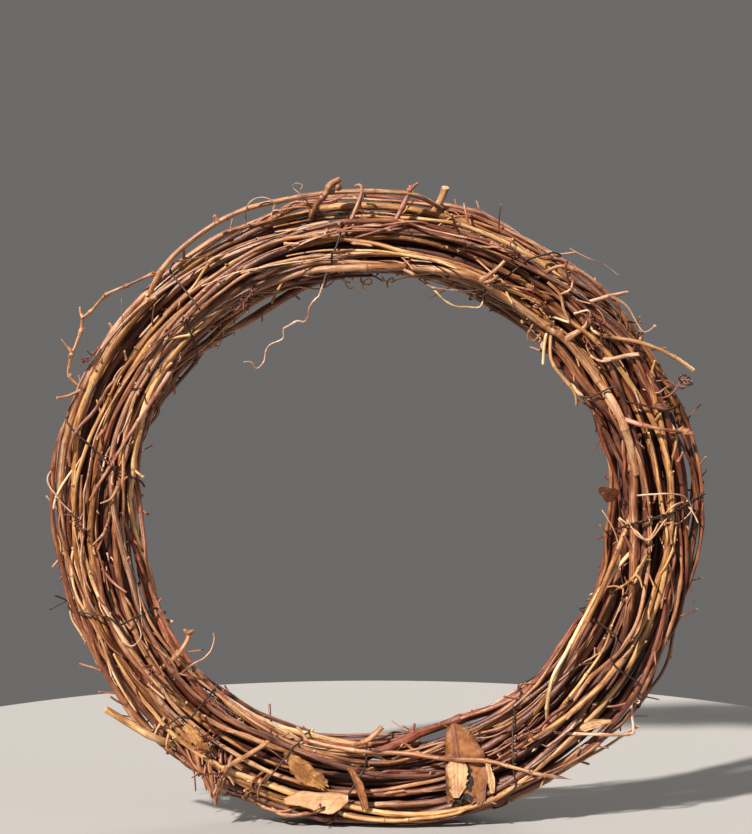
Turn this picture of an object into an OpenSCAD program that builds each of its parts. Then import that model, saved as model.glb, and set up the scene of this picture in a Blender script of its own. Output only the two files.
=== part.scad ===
// Natural grapevine wreath frame, 300 mm across. Millimetres.
// The ring stands upright: its axis runs along Y, its front faces -Y and it rests on z = 0.
// The canes are laid one after another: each one goes round the ring about twice and lies
// on top of the canes that were laid before it. A thin wire is wound round the whole bundle.

/* [Ring] */
// Radius from the middle of the ring to the middle of the bundle
ring_r = 129.5; // [110:0.5:150]
// Height of the middle of the ring above what it rests on
ring_z = 150.8; // [120:0.1:170]
// How far the bundle as a whole is off the middle, away from the side below
ring_shift = 6.6; // [0:0.1:10]
// Side of the ring that is nearest to its middle, in degrees from the right
shift_side = 84; // [0:1:359]
// How much thicker the bundle is on its two thick sides
thick_more = 0.05; // [0:0.01:0.3]
// One thick side of the bundle, in degrees from the right; the other is opposite
thick_side = 125; // [0:1:359]

/* [Canes] */
// Number of canes that are wound at random
cane_total = 19; // [12:1:24]
// Thinnest cane
cane_thin = 2.8; // [1.5:0.1:4]
// How much thicker the thickest cane is
cane_spread = 1.9; // [0:0.1:4]
// Times round the ring for a cane of middling length
cane_turns = 2.05; // [1:0.05:3]
// Which set of random canes
cane_seed = 69; // [0:1:99]
// Canes that lie quietly in the core
core_canes = 11; // [4:1:18]
// How much the canes outside the core wander
cane_wander = 0.8; // [0:0.05:1]
// Least space between two canes
cane_gap = 0.15; // [0:0.05:0.5]
// Sides of a cane's cross-section
cane_sides = 6; // [5:1:8]

/* [Binding] */
// Diameter of the binding wire
wire_d = 1.1; // [0.6:0.1:2]
// How far the wire slants as it crosses the front, against the slants listed below
wire_slant = 1; // [0:0.1:1.5]

/* [Hidden] */
// Stations round the ring at which a cane's place is worked out
stations = 72;
step = 360 / stations;
centre = [0, 0, ring_z];

// Where the wire crosses the front, in degrees from the right, and the degrees it covers as it
// does, in the order it is wound
wire_at = [
    [203, 10], [227, 5], [249, 11], [266, 16], [299, 16], [327, 10], [357, 10], [381, 13], [419, 12],
    [457, 14], [496, 13], [530, 12]
];
// The one crossing that slants the other way, where the wire is knotted
wire_knot = 6;

// Canes that are laid last and whose run is chosen:
// [diameter, first station, stations, place round the bundle, turn, swing, swing rate, swing start]
chosen = [
    [5.3, 66, 30, 92, 0, 58, 1.2, 0]
];

function noise(i, k) =
    let (v = sin((i + cane_seed) * 127.1 + k * 311.7) * 43758.5453)
    v - floor(v);
function wrap(k) = ((k % stations) + stations) % stations;

// The ring at an angle: where the bundle's middle is, and how much the bundle is spread
function mid_r(phi) = ring_r - ring_shift * cos(phi - shift_side);
function spread(phi) = (1 + thick_more * cos(2 * (phi - thick_side))) / (1 - thick_more);
// A place in the bundle: a is away from the ring's middle and b is towards the front
function at(phi, a, b) =
    let (r = mid_r(phi) + a)
    [r * cos(phi), -b, ring_z + r * sin(phi)];
function in_bundle(phi, p) = at(phi, spread(phi) * p[0], spread(phi) * p[1]);

// A cane: [diameter, first station, stations, place round the bundle, turn, swings]
function random_cane(j) =
    let (
        calm = j < core_canes ? 0.1 : cane_wander,
        back = j >= core_canes && noise(j, 5) < 0.3 ? -0.6 : 1
    )
    [
        cane_thin + cane_spread * pow(noise(j, 1), 1.1),
        floor(stations * noise(j, 2)),
        round(cane_turns * stations * (0.85 + 0.3 * noise(j, 3)) * (j == 0 ? 0.9 : 1)),
        137.508 * j,
        back * (50 + 20 * noise(j, 4) + 125 / (1 + j)),
        [
            [calm * (18 + 14 * noise(j, 6)), 1.3 + 0.5 * noise(j, 7), 360 * noise(j, 8)],
            [calm * (8 + 8 * noise(j, 9)), 2.6 + 0.8 * noise(j, 10), 360 * noise(j, 11)],
            [calm * (2 + 4 * noise(j, 12)), 5 + 1.5 * noise(j, 13), 360 * noise(j, 14)]
        ]
    ];
function chosen_cane(c) = [c[0], c[1], c[2], c[3], c[4], [[c[5], c[6], c[7]]]];
cane_list = concat(
    [for (j = [0 : cane_total - 1]) random_cane(j)],
    [for (c = chosen) chosen_cane(c)]
);
canes = len(cane_list);

function place_round(c, t) =
    c[3] + c[4] * t / 360 + sum([for (s = c[5]) s[0] * sin(s[1] * t + s[2])]);
function sum(v, i = 0) = i < len(v) ? v[i] + sum(v, i + 1) : 0;
function cane_rad(c, k) = c[0] / 2 * (1.12 - 0.34 * k / c[2]);

// How far out a cane of radius r has to lie, in direction u, to clear a cane q of radius s
function clear_of(u, r, q, s) =
    let (
        along = u * q,
        left = pow(r + s + cane_gap, 2) - (q * q - along * along)
    )
    left > 0 ? along + sqrt(left) : 0;

// Eases a cane over what it lies on, so that it doesn't dip between two stations
function ease(v) =
    let (
        n = len(v) - 1,
        high = [for (k = [0 : n]) max([for (i = [-1 : 1]) v[min(n, max(0, k + i))]])]
    )
    [for (k = [0 : n]) sum([for (i = [-1 : 1]) high[min(n, max(0, k + i))]]) / 3];
// Lays cane c on the canes laid before it, then clear of its own earlier turns.
// A laid cane is [cane, places, radii].
function lay(c, laid) =
    let (
        n = c[2],
        dirs = [for (k = [0 : n]) let (a = place_round(c, k * step)) [cos(a), sin(a)]],
        rads = [for (k = [0 : n]) cane_rad(c, k)],
        others = [
            for (k = [0 : n])
                max([
                    rads[k] + 0.1,
                    for (o = laid)
                        for (m = [wrap(c[1] + k - o[0][1]) : stations : o[0][2]])
                            clear_of(dirs[k], rads[k], o[1][m], o[2][m])
                ])
        ],
        first = ease(others),
        own = [
            for (k = [0 : n])
                max([
                    others[k],
                    for (m = [k - stations : -stations : 0])
                        clear_of(dirs[k], rads[k], first[m] * dirs[m], rads[m])
                ])
        ],
        out = ease(own)
    )
    [c, [for (k = [0 : n]) out[k] * dirs[k]], rads];
bundle = [
    for (j = 0, laid = []; j <= canes;
        laid = j < canes ? concat(laid, [lay(cane_list[j], laid)]) : laid, j = j + 1)
        if (j == canes) each laid
];

// Tubes: rings of points along a line, joined by triangles. Shoots grow out of a tube's sides:
// each is [ring, side, half its width, [[way, size], ...]] and starts from a small patch in
// the middle of the tube's side between that ring and the next one.
function ring_faces(lo, hi) = [
    for (i = [0 : len(lo) - 1])
        let (j = (i + 1) % len(lo))
        each [[lo[i], hi[j], lo[j]], [lo[i], hi[i], hi[j]]]
];
function ring_of(k, s) = [for (i = [0 : s - 1]) k * s + i];
function corners(k, i, s) =
    let (j = (i + 1) % s)
    [k * s + j, k * s + s + j, k * s + s + i, k * s + i];
function patch(p, half) =
    let (
        lo = (p[0] + p[3]) / 2,
        hi = (p[1] + p[2]) / 2,
        mid = (lo + hi) / 2,
        w = half * (hi - lo) / norm(hi - lo)
    )
    [mid + p[0] - lo - w, mid + p[1] - hi + w, mid + p[2] - hi + w, mid + p[3] - lo - w];
function shoot_points(base, ways) =
    let (mid = (base[0] + base[1] + base[2] + base[3]) / 4)
    concat(base, [for (w = ways) for (p = base) mid + w[0] + w[1] * (p - mid)]);
module tube(middles, rads, us, vs, sides, shoots = []) {
    n = len(middles);
    body = [
        for (k = [0 : n - 1])
            for (i = [0 : sides - 1])
                middles[k] + rads[k] * (cos(360 * i / sides) * us[k] + sin(360 * i / sides) * vs[k])
    ];
    grown = [
        for (s = shoots)
            shoot_points(patch([for (c = corners(s[0], s[1], sides)) body[c]], s[2]), s[3])
    ];
    firsts = [for (i = 0, f = len(body); i < len(shoots); f = f + len(grown[i]), i = i + 1) f];
    taken = [for (s = shoots) [s[0], s[1]]];
    polyhedron(
        concat(body, [for (g = grown) each g]),
        concat(
            [ring_of(0, sides)],
            [
                for (k = [0 : n - 2])
                    for (i = [0 : sides - 1])
                        if (len([for (t = taken) if (t == [k, i]) t]) == 0)
                            let (a = k * sides + i, b = k * sides + (i + 1) % sides)
                            each [[a, b + sides, b], [a, a + sides, b + sides]]
            ],
            [[for (i = [sides - 1 : -1 : 0]) (n - 1) * sides + i]],
            [
                for (m = [0 : 1 : len(shoots) - 1])
                    let (f = firsts[m], last = f + len(grown[m]) - 4)
                    each concat(
                        ring_faces(corners(shoots[m][0], shoots[m][1], sides), quad_at(f)),
                        [for (q = [f : 4 : last - 4]) each ring_faces(quad_at(q), quad_at(q + 4))],
                        [[last, last + 3, last + 2], [last, last + 2, last + 1]]
                    )
            ]
        )
    );
}
function quad_at(f) = [f, f + 1, f + 2, f + 3];

// The side shoots of a cane: short cut stubs on the outer face, where nothing lies over it,
// and none on the foot that the ring stands on
function shoot_free(j, k) =
    let (
        laid = bundle[j],
        p = laid[1][k],
        tip = p + 5.5 * p / norm(p)
    )
    min([
        9,
        for (i = [j + 1 : 1 : canes - 1])
            let (o = bundle[i])
            for (e = [-1 : 1])
                for (m = [wrap(laid[0][1] + k + e - o[0][1]) : stations : o[0][2]])
                    norm(tip - o[1][m]) - o[2][m]
    ]) > 1.6;
function shoot_places(j) = [
    for (i = [0 : 25])
        let (k = 5 + 6 * i + 2 * floor(2 * noise(j, 20 + i)))
        if (k < bundle[j][0][2] - 3 && noise(j, 50 + i) < 0.5 && shoot_free(j, k)
            && sin((bundle[j][0][1] + k) * step) > -0.9) k
];
function cane_shoot(j, k) =
    let (
        laid = bundle[j],
        phi = (laid[0][1] + k) * step,
        p = laid[1][k],
        side = floor(((atan2(p[1], p[0]) + 360) % 360) / 360 * cane_sides),
        mid_side = (side + 0.5) * 360 / cane_sides,
        out = [cos(mid_side) * cos(phi), -sin(mid_side), cos(mid_side) * sin(phi)],
        lean = (noise(k, j) < 0.5 ? 1 : -1) * [-sin(phi), 0, cos(phi)],
        long = 3 + 4 * noise(j, k)
    )
    [(k - 1) / 2, side, 0.55 * laid[2][k],
        [[0.4 * long * (out + 0.5 * lean), 0.8], [long * (out + 0.9 * lean), 0.75]]];
module cane(j) {
    laid = bundle[j];
    n = floor(laid[0][2] / 2);
    phis = [for (i = [0 : n]) (laid[0][1] + 2 * i) * step];
    tube(
        [for (i = [0 : n]) in_bundle(phis[i], laid[1][2 * i])],
        [for (i = [0 : n]) laid[2][2 * i]],
        [for (i = [0 : n]) [cos(phis[i]), 0, sin(phis[i])]],
        [for (i = [0 : n]) [0, -1, 0]],
        j < core_canes ? 5 : cane_sides,
        j < core_canes ? [] : [for (k = shoot_places(j)) cane_shoot(j, k)]
    );
}

// The wire touches the canes that stand out furthest and runs straight between them
function passes(phi) =
    let (s = floor(phi / step), f = phi / step - s)
    [
        for (o = bundle)
            for (m = [wrap(s - o[0][1]) : stations : o[0][2] - 1])
                [spread(phi) * ((1 - f) * o[1][m] + f * o[1][m + 1]), o[2][m]]
    ];
function tallest(list, u, i = 1, best = 0) =
    i >= len(list) ? list[best]
    : tallest(list, u, i + 1,
        list[i][0] * u + list[i][1] > list[best][0] * u + list[best][1] ? i : best);
function wire_phi(turn) =
    let (
        i = floor(turn / 360),
        f = (turn - 360 * i) / 180,
        way = i == wire_knot ? -1 : 1,
        next = i + 1 == wire_knot ? -1 : 1,
        slant = wire_slant * wire_at[i][1],
        other = wire_at[min(i + 1, len(wire_at) - 1)],
        from = wire_at[i][0] + way * slant / 2,
        to = other[0] - next * wire_slant * other[1] / 2
    )
    f <= 1 ? wire_at[i][0] + way * slant * (f - 0.5) : from + (to - from) * max(0, min(1, 2 * (f - 1.25)));
function wire_point(turn) =
    let (
        phi = wire_phi(turn),
        u = [cos(turn), sin(turn)],
        c = tallest(passes(phi), u),
        q = c[0] + (c[1] + wire_d / 2) * u
    )
    at(phi, q[0], q[1]);

// Thin pieces: a smooth line through a few points, given from the middle of the ring
function bend(a, b, c, d, t) =
    0.5 * (2 * b + (c - a) * t + (2 * a - 5 * b + 4 * c - d) * t * t
        + (3 * b - a - 3 * c + d) * t * t * t);
function smooth(p, m) =
    let (n = len(p) - 1)
    [
        for (i = [0 : n - 1])
            for (k = [0 : m - 1])
                bend(p[max(i - 1, 0)], p[i], p[i + 1], p[min(i + 2, n)], k / m),
        p[n]
    ];
function along(p, i) =
    let (n = len(p) - 1, v = p[min(i + 1, n)] - p[max(i - 1, 0)])
    v / norm(v);
function unit(v) = v / norm(v);
// Side of the tube at each point, carried from one point to the next so that it doesn't twist
function sides_of(p) = [
    for (i = 0, u = unit(cross(along(p, 0), [0.31, 0.9, 0.22])); i < len(p);
        i = i + 1,
        u = i < len(p) ? unit(u - (u * along(p, i)) * along(p, i)) : u)
        u
];
module line_tube(p, r0, r1, sides, shoots = []) {
    n = len(p) - 1;
    us = sides_of(p);
    tube(
        p,
        [for (i = [0 : n]) r0 + (r1 - r0) * i / n],
        us,
        [for (i = [0 : n]) cross(us[i], along(p, i))],
        sides,
        [
            for (s = shoots)
                let (
                    outs = [
                        for (i = [0 : sides - 1])
                            let (a = 360 * (i + 0.5) / sides, u = us[s[0]])
                            (cos(a) * u + sin(a) * cross(u, along(p, s[0]))) * s[1][0]
                    ]
                )
                [s[0], search(max(outs), outs)[0], s[2] / 2,
                    [for (i = [0 : len(s[1]) - 1]) [s[1][i], 1 - 0.5 * (i + 1) / len(s[1])]]]
        ]
    );
}
// A twig through a few points. Its shoots are [point, [ways from there], width].
module twig(points, d0, d1, bends = 4, sides = 6, shoots = []) {
    translate(centre)
        line_tube(smooth(points, bends), d0 / 2, d1 / 2, sides,
            [for (s = shoots) [round(s[0] * bends), s[1], s[2]]]);
}
// A curl: a coil of a few turns that gets tighter, from a foot in a given direction
module curl(foot, way, side, r, turns, d) {
    n = round(9 * turns);
    w = unit(way);
    s = unit(side - (side * w) * w);
    up = cross(w, s);
    translate(centre)
        line_tube(
            [
                for (i = [0 : n])
                    let (t = i / n, a = 360 * turns * t, q = r * (1 - 0.55 * t))
                    foot + w * (q * sin(a) + 2.2 * r * t) + s * (r - q * cos(a))
                        + up * (0.9 * r * t)
            ],
            d / 2, 0.35 * d, 4
        );
}

// A dry leaf: a thin folded sheet from its stalk to its tip
module leaf(foot, tip, face, width, fold, curl_up) {
    rows = 7;
    long = norm(tip - foot);
    w = (tip - foot) / long;
    f = unit(face - (face * w) * w);
    s = cross(w, f);
    thick = 0.5;
    half = [for (i = [0 : rows]) width / 2 * (0.16 + 0.84 * pow(sin(180 * pow(i / rows, 0.8)), 0.8))];
    top = [
        for (i = [0 : rows])
            let (t = i / rows, mid = foot + t * long * w + curl_up * sin(180 * t) * f)
            for (e = [-1, 0, 1])
                mid + e * half[i] * s + abs(e) * fold * half[i] * f
    ];
    low = [for (p = top) p - thick * f];
    n = 3 * (rows + 1);
    translate(centre)
        polyhedron(
            concat(top, low),
            concat(
                [
                    for (i = [0 : rows - 1])
                        for (e = [0, 1])
                            let (a = 3 * i + e, b = a + 1, c = a + 3, d = a + 4)
                            each [[a, d, b], [a, c, d], [n + a, n + b, n + d], [n + a, n + d, n + c]]
                ],
                [
                    for (i = [0 : rows - 1])
                        let (a = 3 * i, c = a + 3, b = a + 2, d = a + 5)
                        each [[a, n + a, n + c], [a, n + c, c], [b, n + d, n + b], [b, d, n + d]]
                ],
                [
                    for (e = [0, 1])
                        let (a = e, b = e + 1, c = 3 * rows + e, d = c + 1)
                        each [[a, b, n + b], [a, n + b, n + a], [c, n + d, d], [c, n + c, n + d]]
                ]
            )
        );
}

bark = ["#8a5636", "#93603f", "#7b4630", "#b98a52", "#a5713f"];

module binding_wire() {
    color("#2c2622")
        line_tube([for (t = [0 : 30 : 360 * len(wire_at) - 180]) wire_point(t)],
            wire_d / 2, wire_d / 2, 4);
}

// A place on the front of the bundle, given across and up from the middle of the ring and
// how far it stands off the canes there
function front_at(x, z) =
    let (phi = atan2(z, x) + 360, a = norm([x, z]) - mid_r(phi))
    max([4, for (c = passes(phi)) abs(c[0][0] - a) < c[1] + 1.6 ? c[0][1] + c[1] : 0]);
function on(x, z, off) = [x, -front_at(x, z) - off, z];

// Loose canes, which stand off the bundle or lie across it
module outer_arch_cane() {
    color(bark[4])
        twig([on(-108, 90, -6), [-95, -13, 111], [-78, -13, 126], [-60, -12, 135.5], [-35, -12, 140.5],
            [-18, -12, 143.3], [0, -11, 144.3], [18, -10, 142.5], on(31, 136, -4)], 2.6, 2.1);
}
module chord_cane_1() {
    color(bark[3])
        twig([on(122, 2, -6), [113, -11, -18], [106, -12, -37], [99, -12, -54], [89, -11, -74],
            [80, -11, -89], on(72, -105, -6)], 2.8, 2.3);
}
module chord_cane_2() {
    color(bark[3])
        twig([on(120, -20, -6), [108, -8, -36], [98, -8, -53], [89, -12, -69], [82, -15, -82],
            on(80, -103, -5)], 2.2, 1.8);
}
module bottom_cane() {
    color(bark[0])
        twig([on(-30, -114, -4), on(-8, -117, 2), on(24, -118, 4), on(42, -119, 5), on(57, -120, 4),
            on(76, -125, 2), on(92, -131, 1)], 2.5, 1.9, 3);
}
module forked_cane() {
    color(bark[4])
        twig([on(-58, 98, -5), on(-34, 107, 0.5), on(-10, 110, 1.8), on(16, 110, 1.8), on(36, 107.5, 1.8),
            on(48.5, 103.5, 1.8), on(58, 97, 1.4), on(75, 85, 1.4), on(88, 76, 1.6), on(103, 57, 1.2),
            on(111.5, 44, 1.2), on(117, 30, 0.6), on(121, 14, -5)], 3, 4, 3,
            shoots = [[5, [[3.5, -2.5, 2.5], [10.5, -4.5, 9]], 2.2],
                [8, [[4.3, -2, 3.2], [8, -3, 5.7], [9.9, -4, 11.4]], 2.4]]);
}
module angular_twig() {
    color(bark[4])
        twig([on(-95, 108, -5), [-103.5, -12, 106], [-117.5, -10, 99.5], [-124.5, -9, 95.5],
            [-130, -8, 90.5], [-134.8, -7, 86.3], [-136, -7, 81], [-137.8, -8, 73.5], [-140, -9, 66],
            [-140.8, -9, 58.5], on(-133, 51, -5)], 1.5, 1.45, 2,
            shoots = [[5, [[-1.2, 0.5, 2], [-1.6, 1, 5]], 1.5],
                [7.5, [[-2.2, 0, 2.5], [-5.2, 0.5, 6]], 1.3]]);
}
module curved_stub() {
    color(bark[3])
        twig([on(96.5, 86, -6), on(101, 80, 0.6), on(109.4, 77.8, 1.5), [122.3, -16, 75.2],
            [136.2, -15, 69.2], [146.3, -14, 62.3]], 1.5, 2.2);
}
module arc_twig() {
    color(bark[4])
        twig([on(74, 104, -6), [85, -14, 110.5], [98, -12, 105], [111, -11, 93], on(120, 74, -5)], 1.8, 1.4);
}
module upper_right_twig() {
    color(bark[1])
        twig([on(96, 93, -6), [103, -13, 95], [108, -13, 96.3], [116.3, -11, 98]], 1.9, 1.8, 2,
            shoots = [[2, [[7.5, -0.5, -4.6], [12, -1, -12], [15.7, -1, -16.6]], 1.2]]);
}
module pointed_twig() {
    color(bark[2])
        twig([on(107, 43, -6), on(118, 39, 2), on(131, 36, 2.5), [147, -13, 33.5]], 3.2, 0.7, 3);
}
module top_twig_1() {
    color(bark[4])
        twig([on(-31, 130, -6), [-26.5, -13, 138.5], [-23, -13.5, 142.5], [-20.4, -13, 147.5],
            [-16, -12, 149.6]], 2.4, 3, 2);
}
module top_twig_2() {
    color(bark[0])
        twig([on(-14, 124, -6), [-6, -12, 142], [-6, -11, 147], [-9, -10, 146.5]], 2, 1.2, 2);
}
module top_twig_3() {
    color(bark[2])
        twig([on(6, 124, -6), [14, -11, 140.5], [16, -10, 147]], 2.4, 2, 2);
}
module top_twig_4() {
    color(bark[4])
        twig([on(27, 134, -7), [30.5, 0, 140.5], [32.2, -1, 146]], 3.3, 3.6, 2);
}
module fat_cut_cane() {
    color(bark[3])
        twig([on(-90, -115, -6), on(-98, -111.5, 0.3), [-106, -14, -107], [-116, -13, -101.2],
            [-125.3, -12, -95.6]], 3.5, 3.4, 3);
}
module bottom_prong() {
    color(bark[4])
        twig([on(-46, -110.5, -5), on(-55, -115, 1), on(-62, -118.5, 1.5), on(-68.8, -122, 1.6),
            on(-71.3, -127, 2), [-72, -14, -136]], 2.5, 1.8, 3,
            shoots = [[2.8, [[-2, -0.5, -3], [-4.5, -1, -8], [-7, -0.5, -13]], 1.9]]);
}
module inner_left_stub() {
    color(bark[4])
        twig([on(-101, -78, -7), on(-94, -72.5, 0.5), [-89.5, -12, -67.5], [-86.9, -10, -63],
            [-87, -9, -60.5]], 2.5, 2.4, 2, shoots = [[3.5, [[2, -0.3, 2.5], [2.8, -0.3, 3.5]], 2.1]]);
}
module inner_left_twig() {
    color(bark[2])
        twig([on(-117, -4, -6), on(-113, -17, 1.3), on(-109, -26, 1.5), on(-107, -34, 2)], 2.2, 1.2, 2);
}
module inner_right_stub() {
    color(bark[3])
        twig([on(82, 86, -6), [78.5, -10.5, 77], [77.5, -9.5, 65]], 1.7, 1.6, 2);
}
module inner_right_twig() {
    color(bark[3])
        twig([on(83, 88, -6), [81, -15, 68], [91, -15, 53], [92.5, -14, 46]], 1.8, 1.1, 3);
}
module bracket_twig() {
    color(bark[1])
        twig([on(84, -107, -5), on(95.5, -106.6, 1.4), on(108, -106.9, 2), [118.6, -14, -106.8],
            [120.3, -14, -105.4], [119.6, -13.5, -99], [119, -13, -92]], 1.6, 1.3, 3, 5);
}
module inner_bottom_stub() {
    color(bark[4])
        twig([on(-10, -116, -5), [-3.5, -11.5, -110.5], [3.5, -10.5, -104.5]], 2.3, 2.5, 2);
}
module diagonal_twig() {
    color(bark[2])
        twig([on(-90, 68, -6), on(-97, 57, 1.4), on(-106, 43, 1.6), on(-117, 26, 1.6), on(-131.5, 2, 2)],
            2.1, 1.4);
}

// Dry flower stalks, each a stem with short forks
module left_stalk() {
    color(bark[4])
        twig([on(-114, 18, -5), on(-120, 5, 1.2), on(-123, -7, 1.4), on(-128, -21, 2)], 1.6, 1, 3, 5,
            shoots = [[1, [[-2, -1, -2], [-6, -2, -3.5]], 1], [1.7, [[2, -1, -2.5], [5, -1, -6]], 1],
                [2.4, [[-2, -1, -2], [-5, -1, -5]], 1]]);
}
module right_stalk() {
    color(bark[3])
        twig([on(128, -18, -5), on(120, -31, 1.4), on(112, -41, 2.4)], 1.5, 1, 4, 5,
            shoots = [[1, [[2, -1, -2], [3, -1.5, -6]], 1], [1.7, [[-2.5, -0.5, 1], [-6, -1, 0.5]], 1]]);
}

// Tendrils
module hanging_tendril() {
    color(bark[1])
        twig([on(-20, 116, -6), [-25, -14, 98], [-30, -14, 91], [-30.5, -13.2, 87.5], [-32.5, -12.5, 84.6],
            [-36, -12.4, 85], [-42, -11.5, 81], [-42.5, -11, 76.6], [-48, -11.2, 74], [-51, -12, 66],
            [-54.5, -12.6, 63], [-57, -13.5, 66], [-60.5, -14, 66]], 1.1, 0.8, 3, 5);
}
module inner_left_tendril() {
    color(bark[1])
        twig([on(-94, -83, -5), [-85, -12, -75], [-79.5, -11, -72.2], [-76, -11, -68],
            [-74.7, -11, -62.8], [-75.2, -11, -60.4]], 1.2, 0.8, 3, 4);
}
module inner_right_tendril() {
    color(bark[3])
        twig([on(80, 96, -6), [71, -11, 79], [73.5, -10, 75.5], [76.5, -11, 79]], 1.2, 0.8, 3, 4);
}
module top_inner_curl() {
    color(bark[3])
        curl(on(-16, 106, -3), [0.3, -0.1, -1], [1, 0, 0], 2.6, 2, 1);
}
module top_inner_loop() {
    color(bark[3])
        twig([on(22, 104, -4), [28, -13, 98.3], [32, -13, 94.5], [37, -13, 92], [42, -12.5, 91.8],
            [47.5, -12, 91.5], [49.5, -12, 94], on(50, 101, -4)], 1, 0.8, 3, 4);
}
module right_tendril() {
    color(bark[1])
        twig([on(127, 49, -5), [134, -13, 50], [138, -13, 53], [140.5, -12, 57], [144, -12, 58],
            [146, -13, 55], [144, -14, 52.5], [141.5, -14.8, 54], [143, -15.6, 56.5]], 1, 0.8, 3, 4);
}
module top_left_curl() {
    color(bark[1])
        curl(on(-48, 132, -5), [-0.1, -0.2, 1], [1, 0, 0], 2.6, 1.5, 1);
}

// Dry leaves and a strip of loose bark, caught between the canes
module large_leaf() {
    color("#6b3d22")
        leaf(on(37, -104, 0.5), on(41.5, -139.5, 1), [0.1, -1, 0.1], 22, -0.05, 1.2);
}
module pale_leaf() {
    color("#b58a62")
        leaf(on(-12.5, -137.2, 1), [-42.5, -16.5, -138.2], [-0.1, -0.9, 0.35], 10.5, 0.3, 1);
}
module golden_leaf() {
    color("#a5682c")
        leaf(on(-42.5, -116.5, 0.6), on(-21, -134, 1.2), [0.1, -1, -0.1], 11, -0.1, 0.6);
}
module leaf_scrap() {
    color("#b98f5e")
        leaf(on(109.4, -100, 1.5), on(95.3, -104, 1.5), [0, -1, 0.1], 5.5, 0.25, 0.8);
}
module small_leaf() {
    color("#8a4f2c")
        leaf(on(112.5, 2.5, -0.5), [103.2, -15, 8.5], [-0.35, -1, 0.15], 8.5, 0.35, 1);
}
module bark_strip() {
    color("#b0622d")
        leaf(on(-11.5, -123, 0.8), on(-4.4, -142, 1.5), [0.2, -1, 0], 4, 0.5, 0.8);
}

cane_names = [for (j = [1 : canes]) str("cane_", j < 10 ? "0" : "", j)];

for (j = [0 : canes - 1])
    color(bark[j % len(bark)]) cane(j);
binding_wire();
outer_arch_cane();
chord_cane_1();
chord_cane_2();
bottom_cane();
forked_cane();
angular_twig();
curved_stub();
arc_twig();
upper_right_twig();
pointed_twig();
top_twig_1();
top_twig_2();
top_twig_3();
top_twig_4();
fat_cut_cane();
bottom_prong();
inner_left_stub();
inner_left_twig();
inner_right_stub();
inner_right_twig();
bracket_twig();
inner_bottom_stub();
diagonal_twig();
left_stalk();
right_stalk();
hanging_tendril();
inner_left_tendril();
inner_right_tendril();
top_inner_curl();
top_inner_loop();
right_tendril();
top_left_curl();
large_leaf();
pale_leaf();
golden_leaf();
leaf_scrap();
small_leaf();
bark_strip();
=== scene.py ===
"""The looks of the grapevine wreath frame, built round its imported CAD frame.

Shapes are worked out in millimetres, in the frame of the CAD model, and become metres in finish_piece. The
wound canes are laid by the rule in the part's source, and the loose pieces follow its points closely. They
rest on the fine vines as well as the canes, so some lie up to 8 mm further forward than their CAD solids.
Two of the curls, top_inner_curl and right_tendril, have more coils than theirs.
"""

import math

import bpy
import numpy as np
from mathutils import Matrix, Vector


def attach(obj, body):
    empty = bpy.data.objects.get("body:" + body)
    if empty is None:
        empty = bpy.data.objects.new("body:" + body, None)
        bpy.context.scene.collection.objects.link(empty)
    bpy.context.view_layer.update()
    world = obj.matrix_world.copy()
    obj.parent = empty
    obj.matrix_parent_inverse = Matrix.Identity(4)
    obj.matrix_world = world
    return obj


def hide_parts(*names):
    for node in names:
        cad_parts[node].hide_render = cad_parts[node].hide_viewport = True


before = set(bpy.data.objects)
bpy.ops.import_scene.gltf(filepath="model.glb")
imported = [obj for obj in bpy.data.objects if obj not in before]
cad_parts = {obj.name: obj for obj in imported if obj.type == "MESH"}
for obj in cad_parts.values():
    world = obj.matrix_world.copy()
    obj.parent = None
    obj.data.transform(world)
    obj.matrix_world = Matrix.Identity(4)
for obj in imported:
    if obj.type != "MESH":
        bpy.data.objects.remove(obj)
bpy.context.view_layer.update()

# ---------------------------------------------------------------- values of the part's source
RING_R, RING_Z, RING_SHIFT, SHIFT_SIDE = 129.5, 150.8, 6.6, 84.0
THICK_MORE, THICK_SIDE = 0.05, 125.0
CANE_TOTAL, CORE_CANES, CANE_SEED = 19, 11, 69
CANE_THIN, CANE_SPREAD, CANE_TURNS, CANE_WANDER, CANE_GAP = 2.8, 1.9, 2.05, 0.8, 0.15
STATIONS, STEP = 72, 5.0
GOLDEN_TURN = 137.508
WIRE_KNOT = 6
# where each loop of the wire crosses the front, in degrees, and the degrees it slants over
WIRE_AT = [(203, 10), (227, 5), (249, 11), (266, 16), (299, 16), (327, 10), (357, 10), (381, 13), (419, 12),
           (457, 14), (496, 13), (530, 12)]
# the thick cane, as the values that random_cane gives for the others
CHOSEN = [[5.3, 66, 30, 92, 0, [[58, 1.2, 0]]]]
CENTRE = np.array([0, 0, RING_Z])

# ---------------------------------------------------------------- values of the looks only
VINES, VINE_SEED, VINE_SINK = 22, 500, 0.8
SLIM = 0.82  # a cane between its nodes, against its CAD solid
CANE_NODES, NODE_SWELL, NODE_WIDE = (24, 58), 0.24, 2.4
STUB_LENGTHS, STUB_ODDS = [2.0, 4.5, 9.0], [0.4, 0.35, 0.25]
SHOOT_LENGTHS, SHOOT_ODDS = [5, 8, 13], [0.45, 0.35, 0.2]
# ridges along a limb: how many round it, share of the ridge height, twist in radians a mm
FLUTES = ((2, 0.5, 0.010), (3, 0.5, -0.014), (5, 0.55, 0.02))
WIRE_THIN, WIRE_REACH, KNOT_THIN, KNOT_TURN = 0.95, 1.5, 0.8, 1.25
LEAF_ROWS, LEAF_COLS, LEAF_THICK = 44, 28, 0.32
# seeds of the random numbers of the wound canes, the wire, the curls and the flower stalks
CANE_DRAW, WIRE_DRAW, CURL_DRAW, STALK_DRAW = 100, 7, 41, 61
# heights below which nothing grows, so that the foot of the ring stays clear
STUB_LOW, SHOOT_LOW, CURL_LOW, SHRED_LOW = 12, 22, 25, 8
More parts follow.
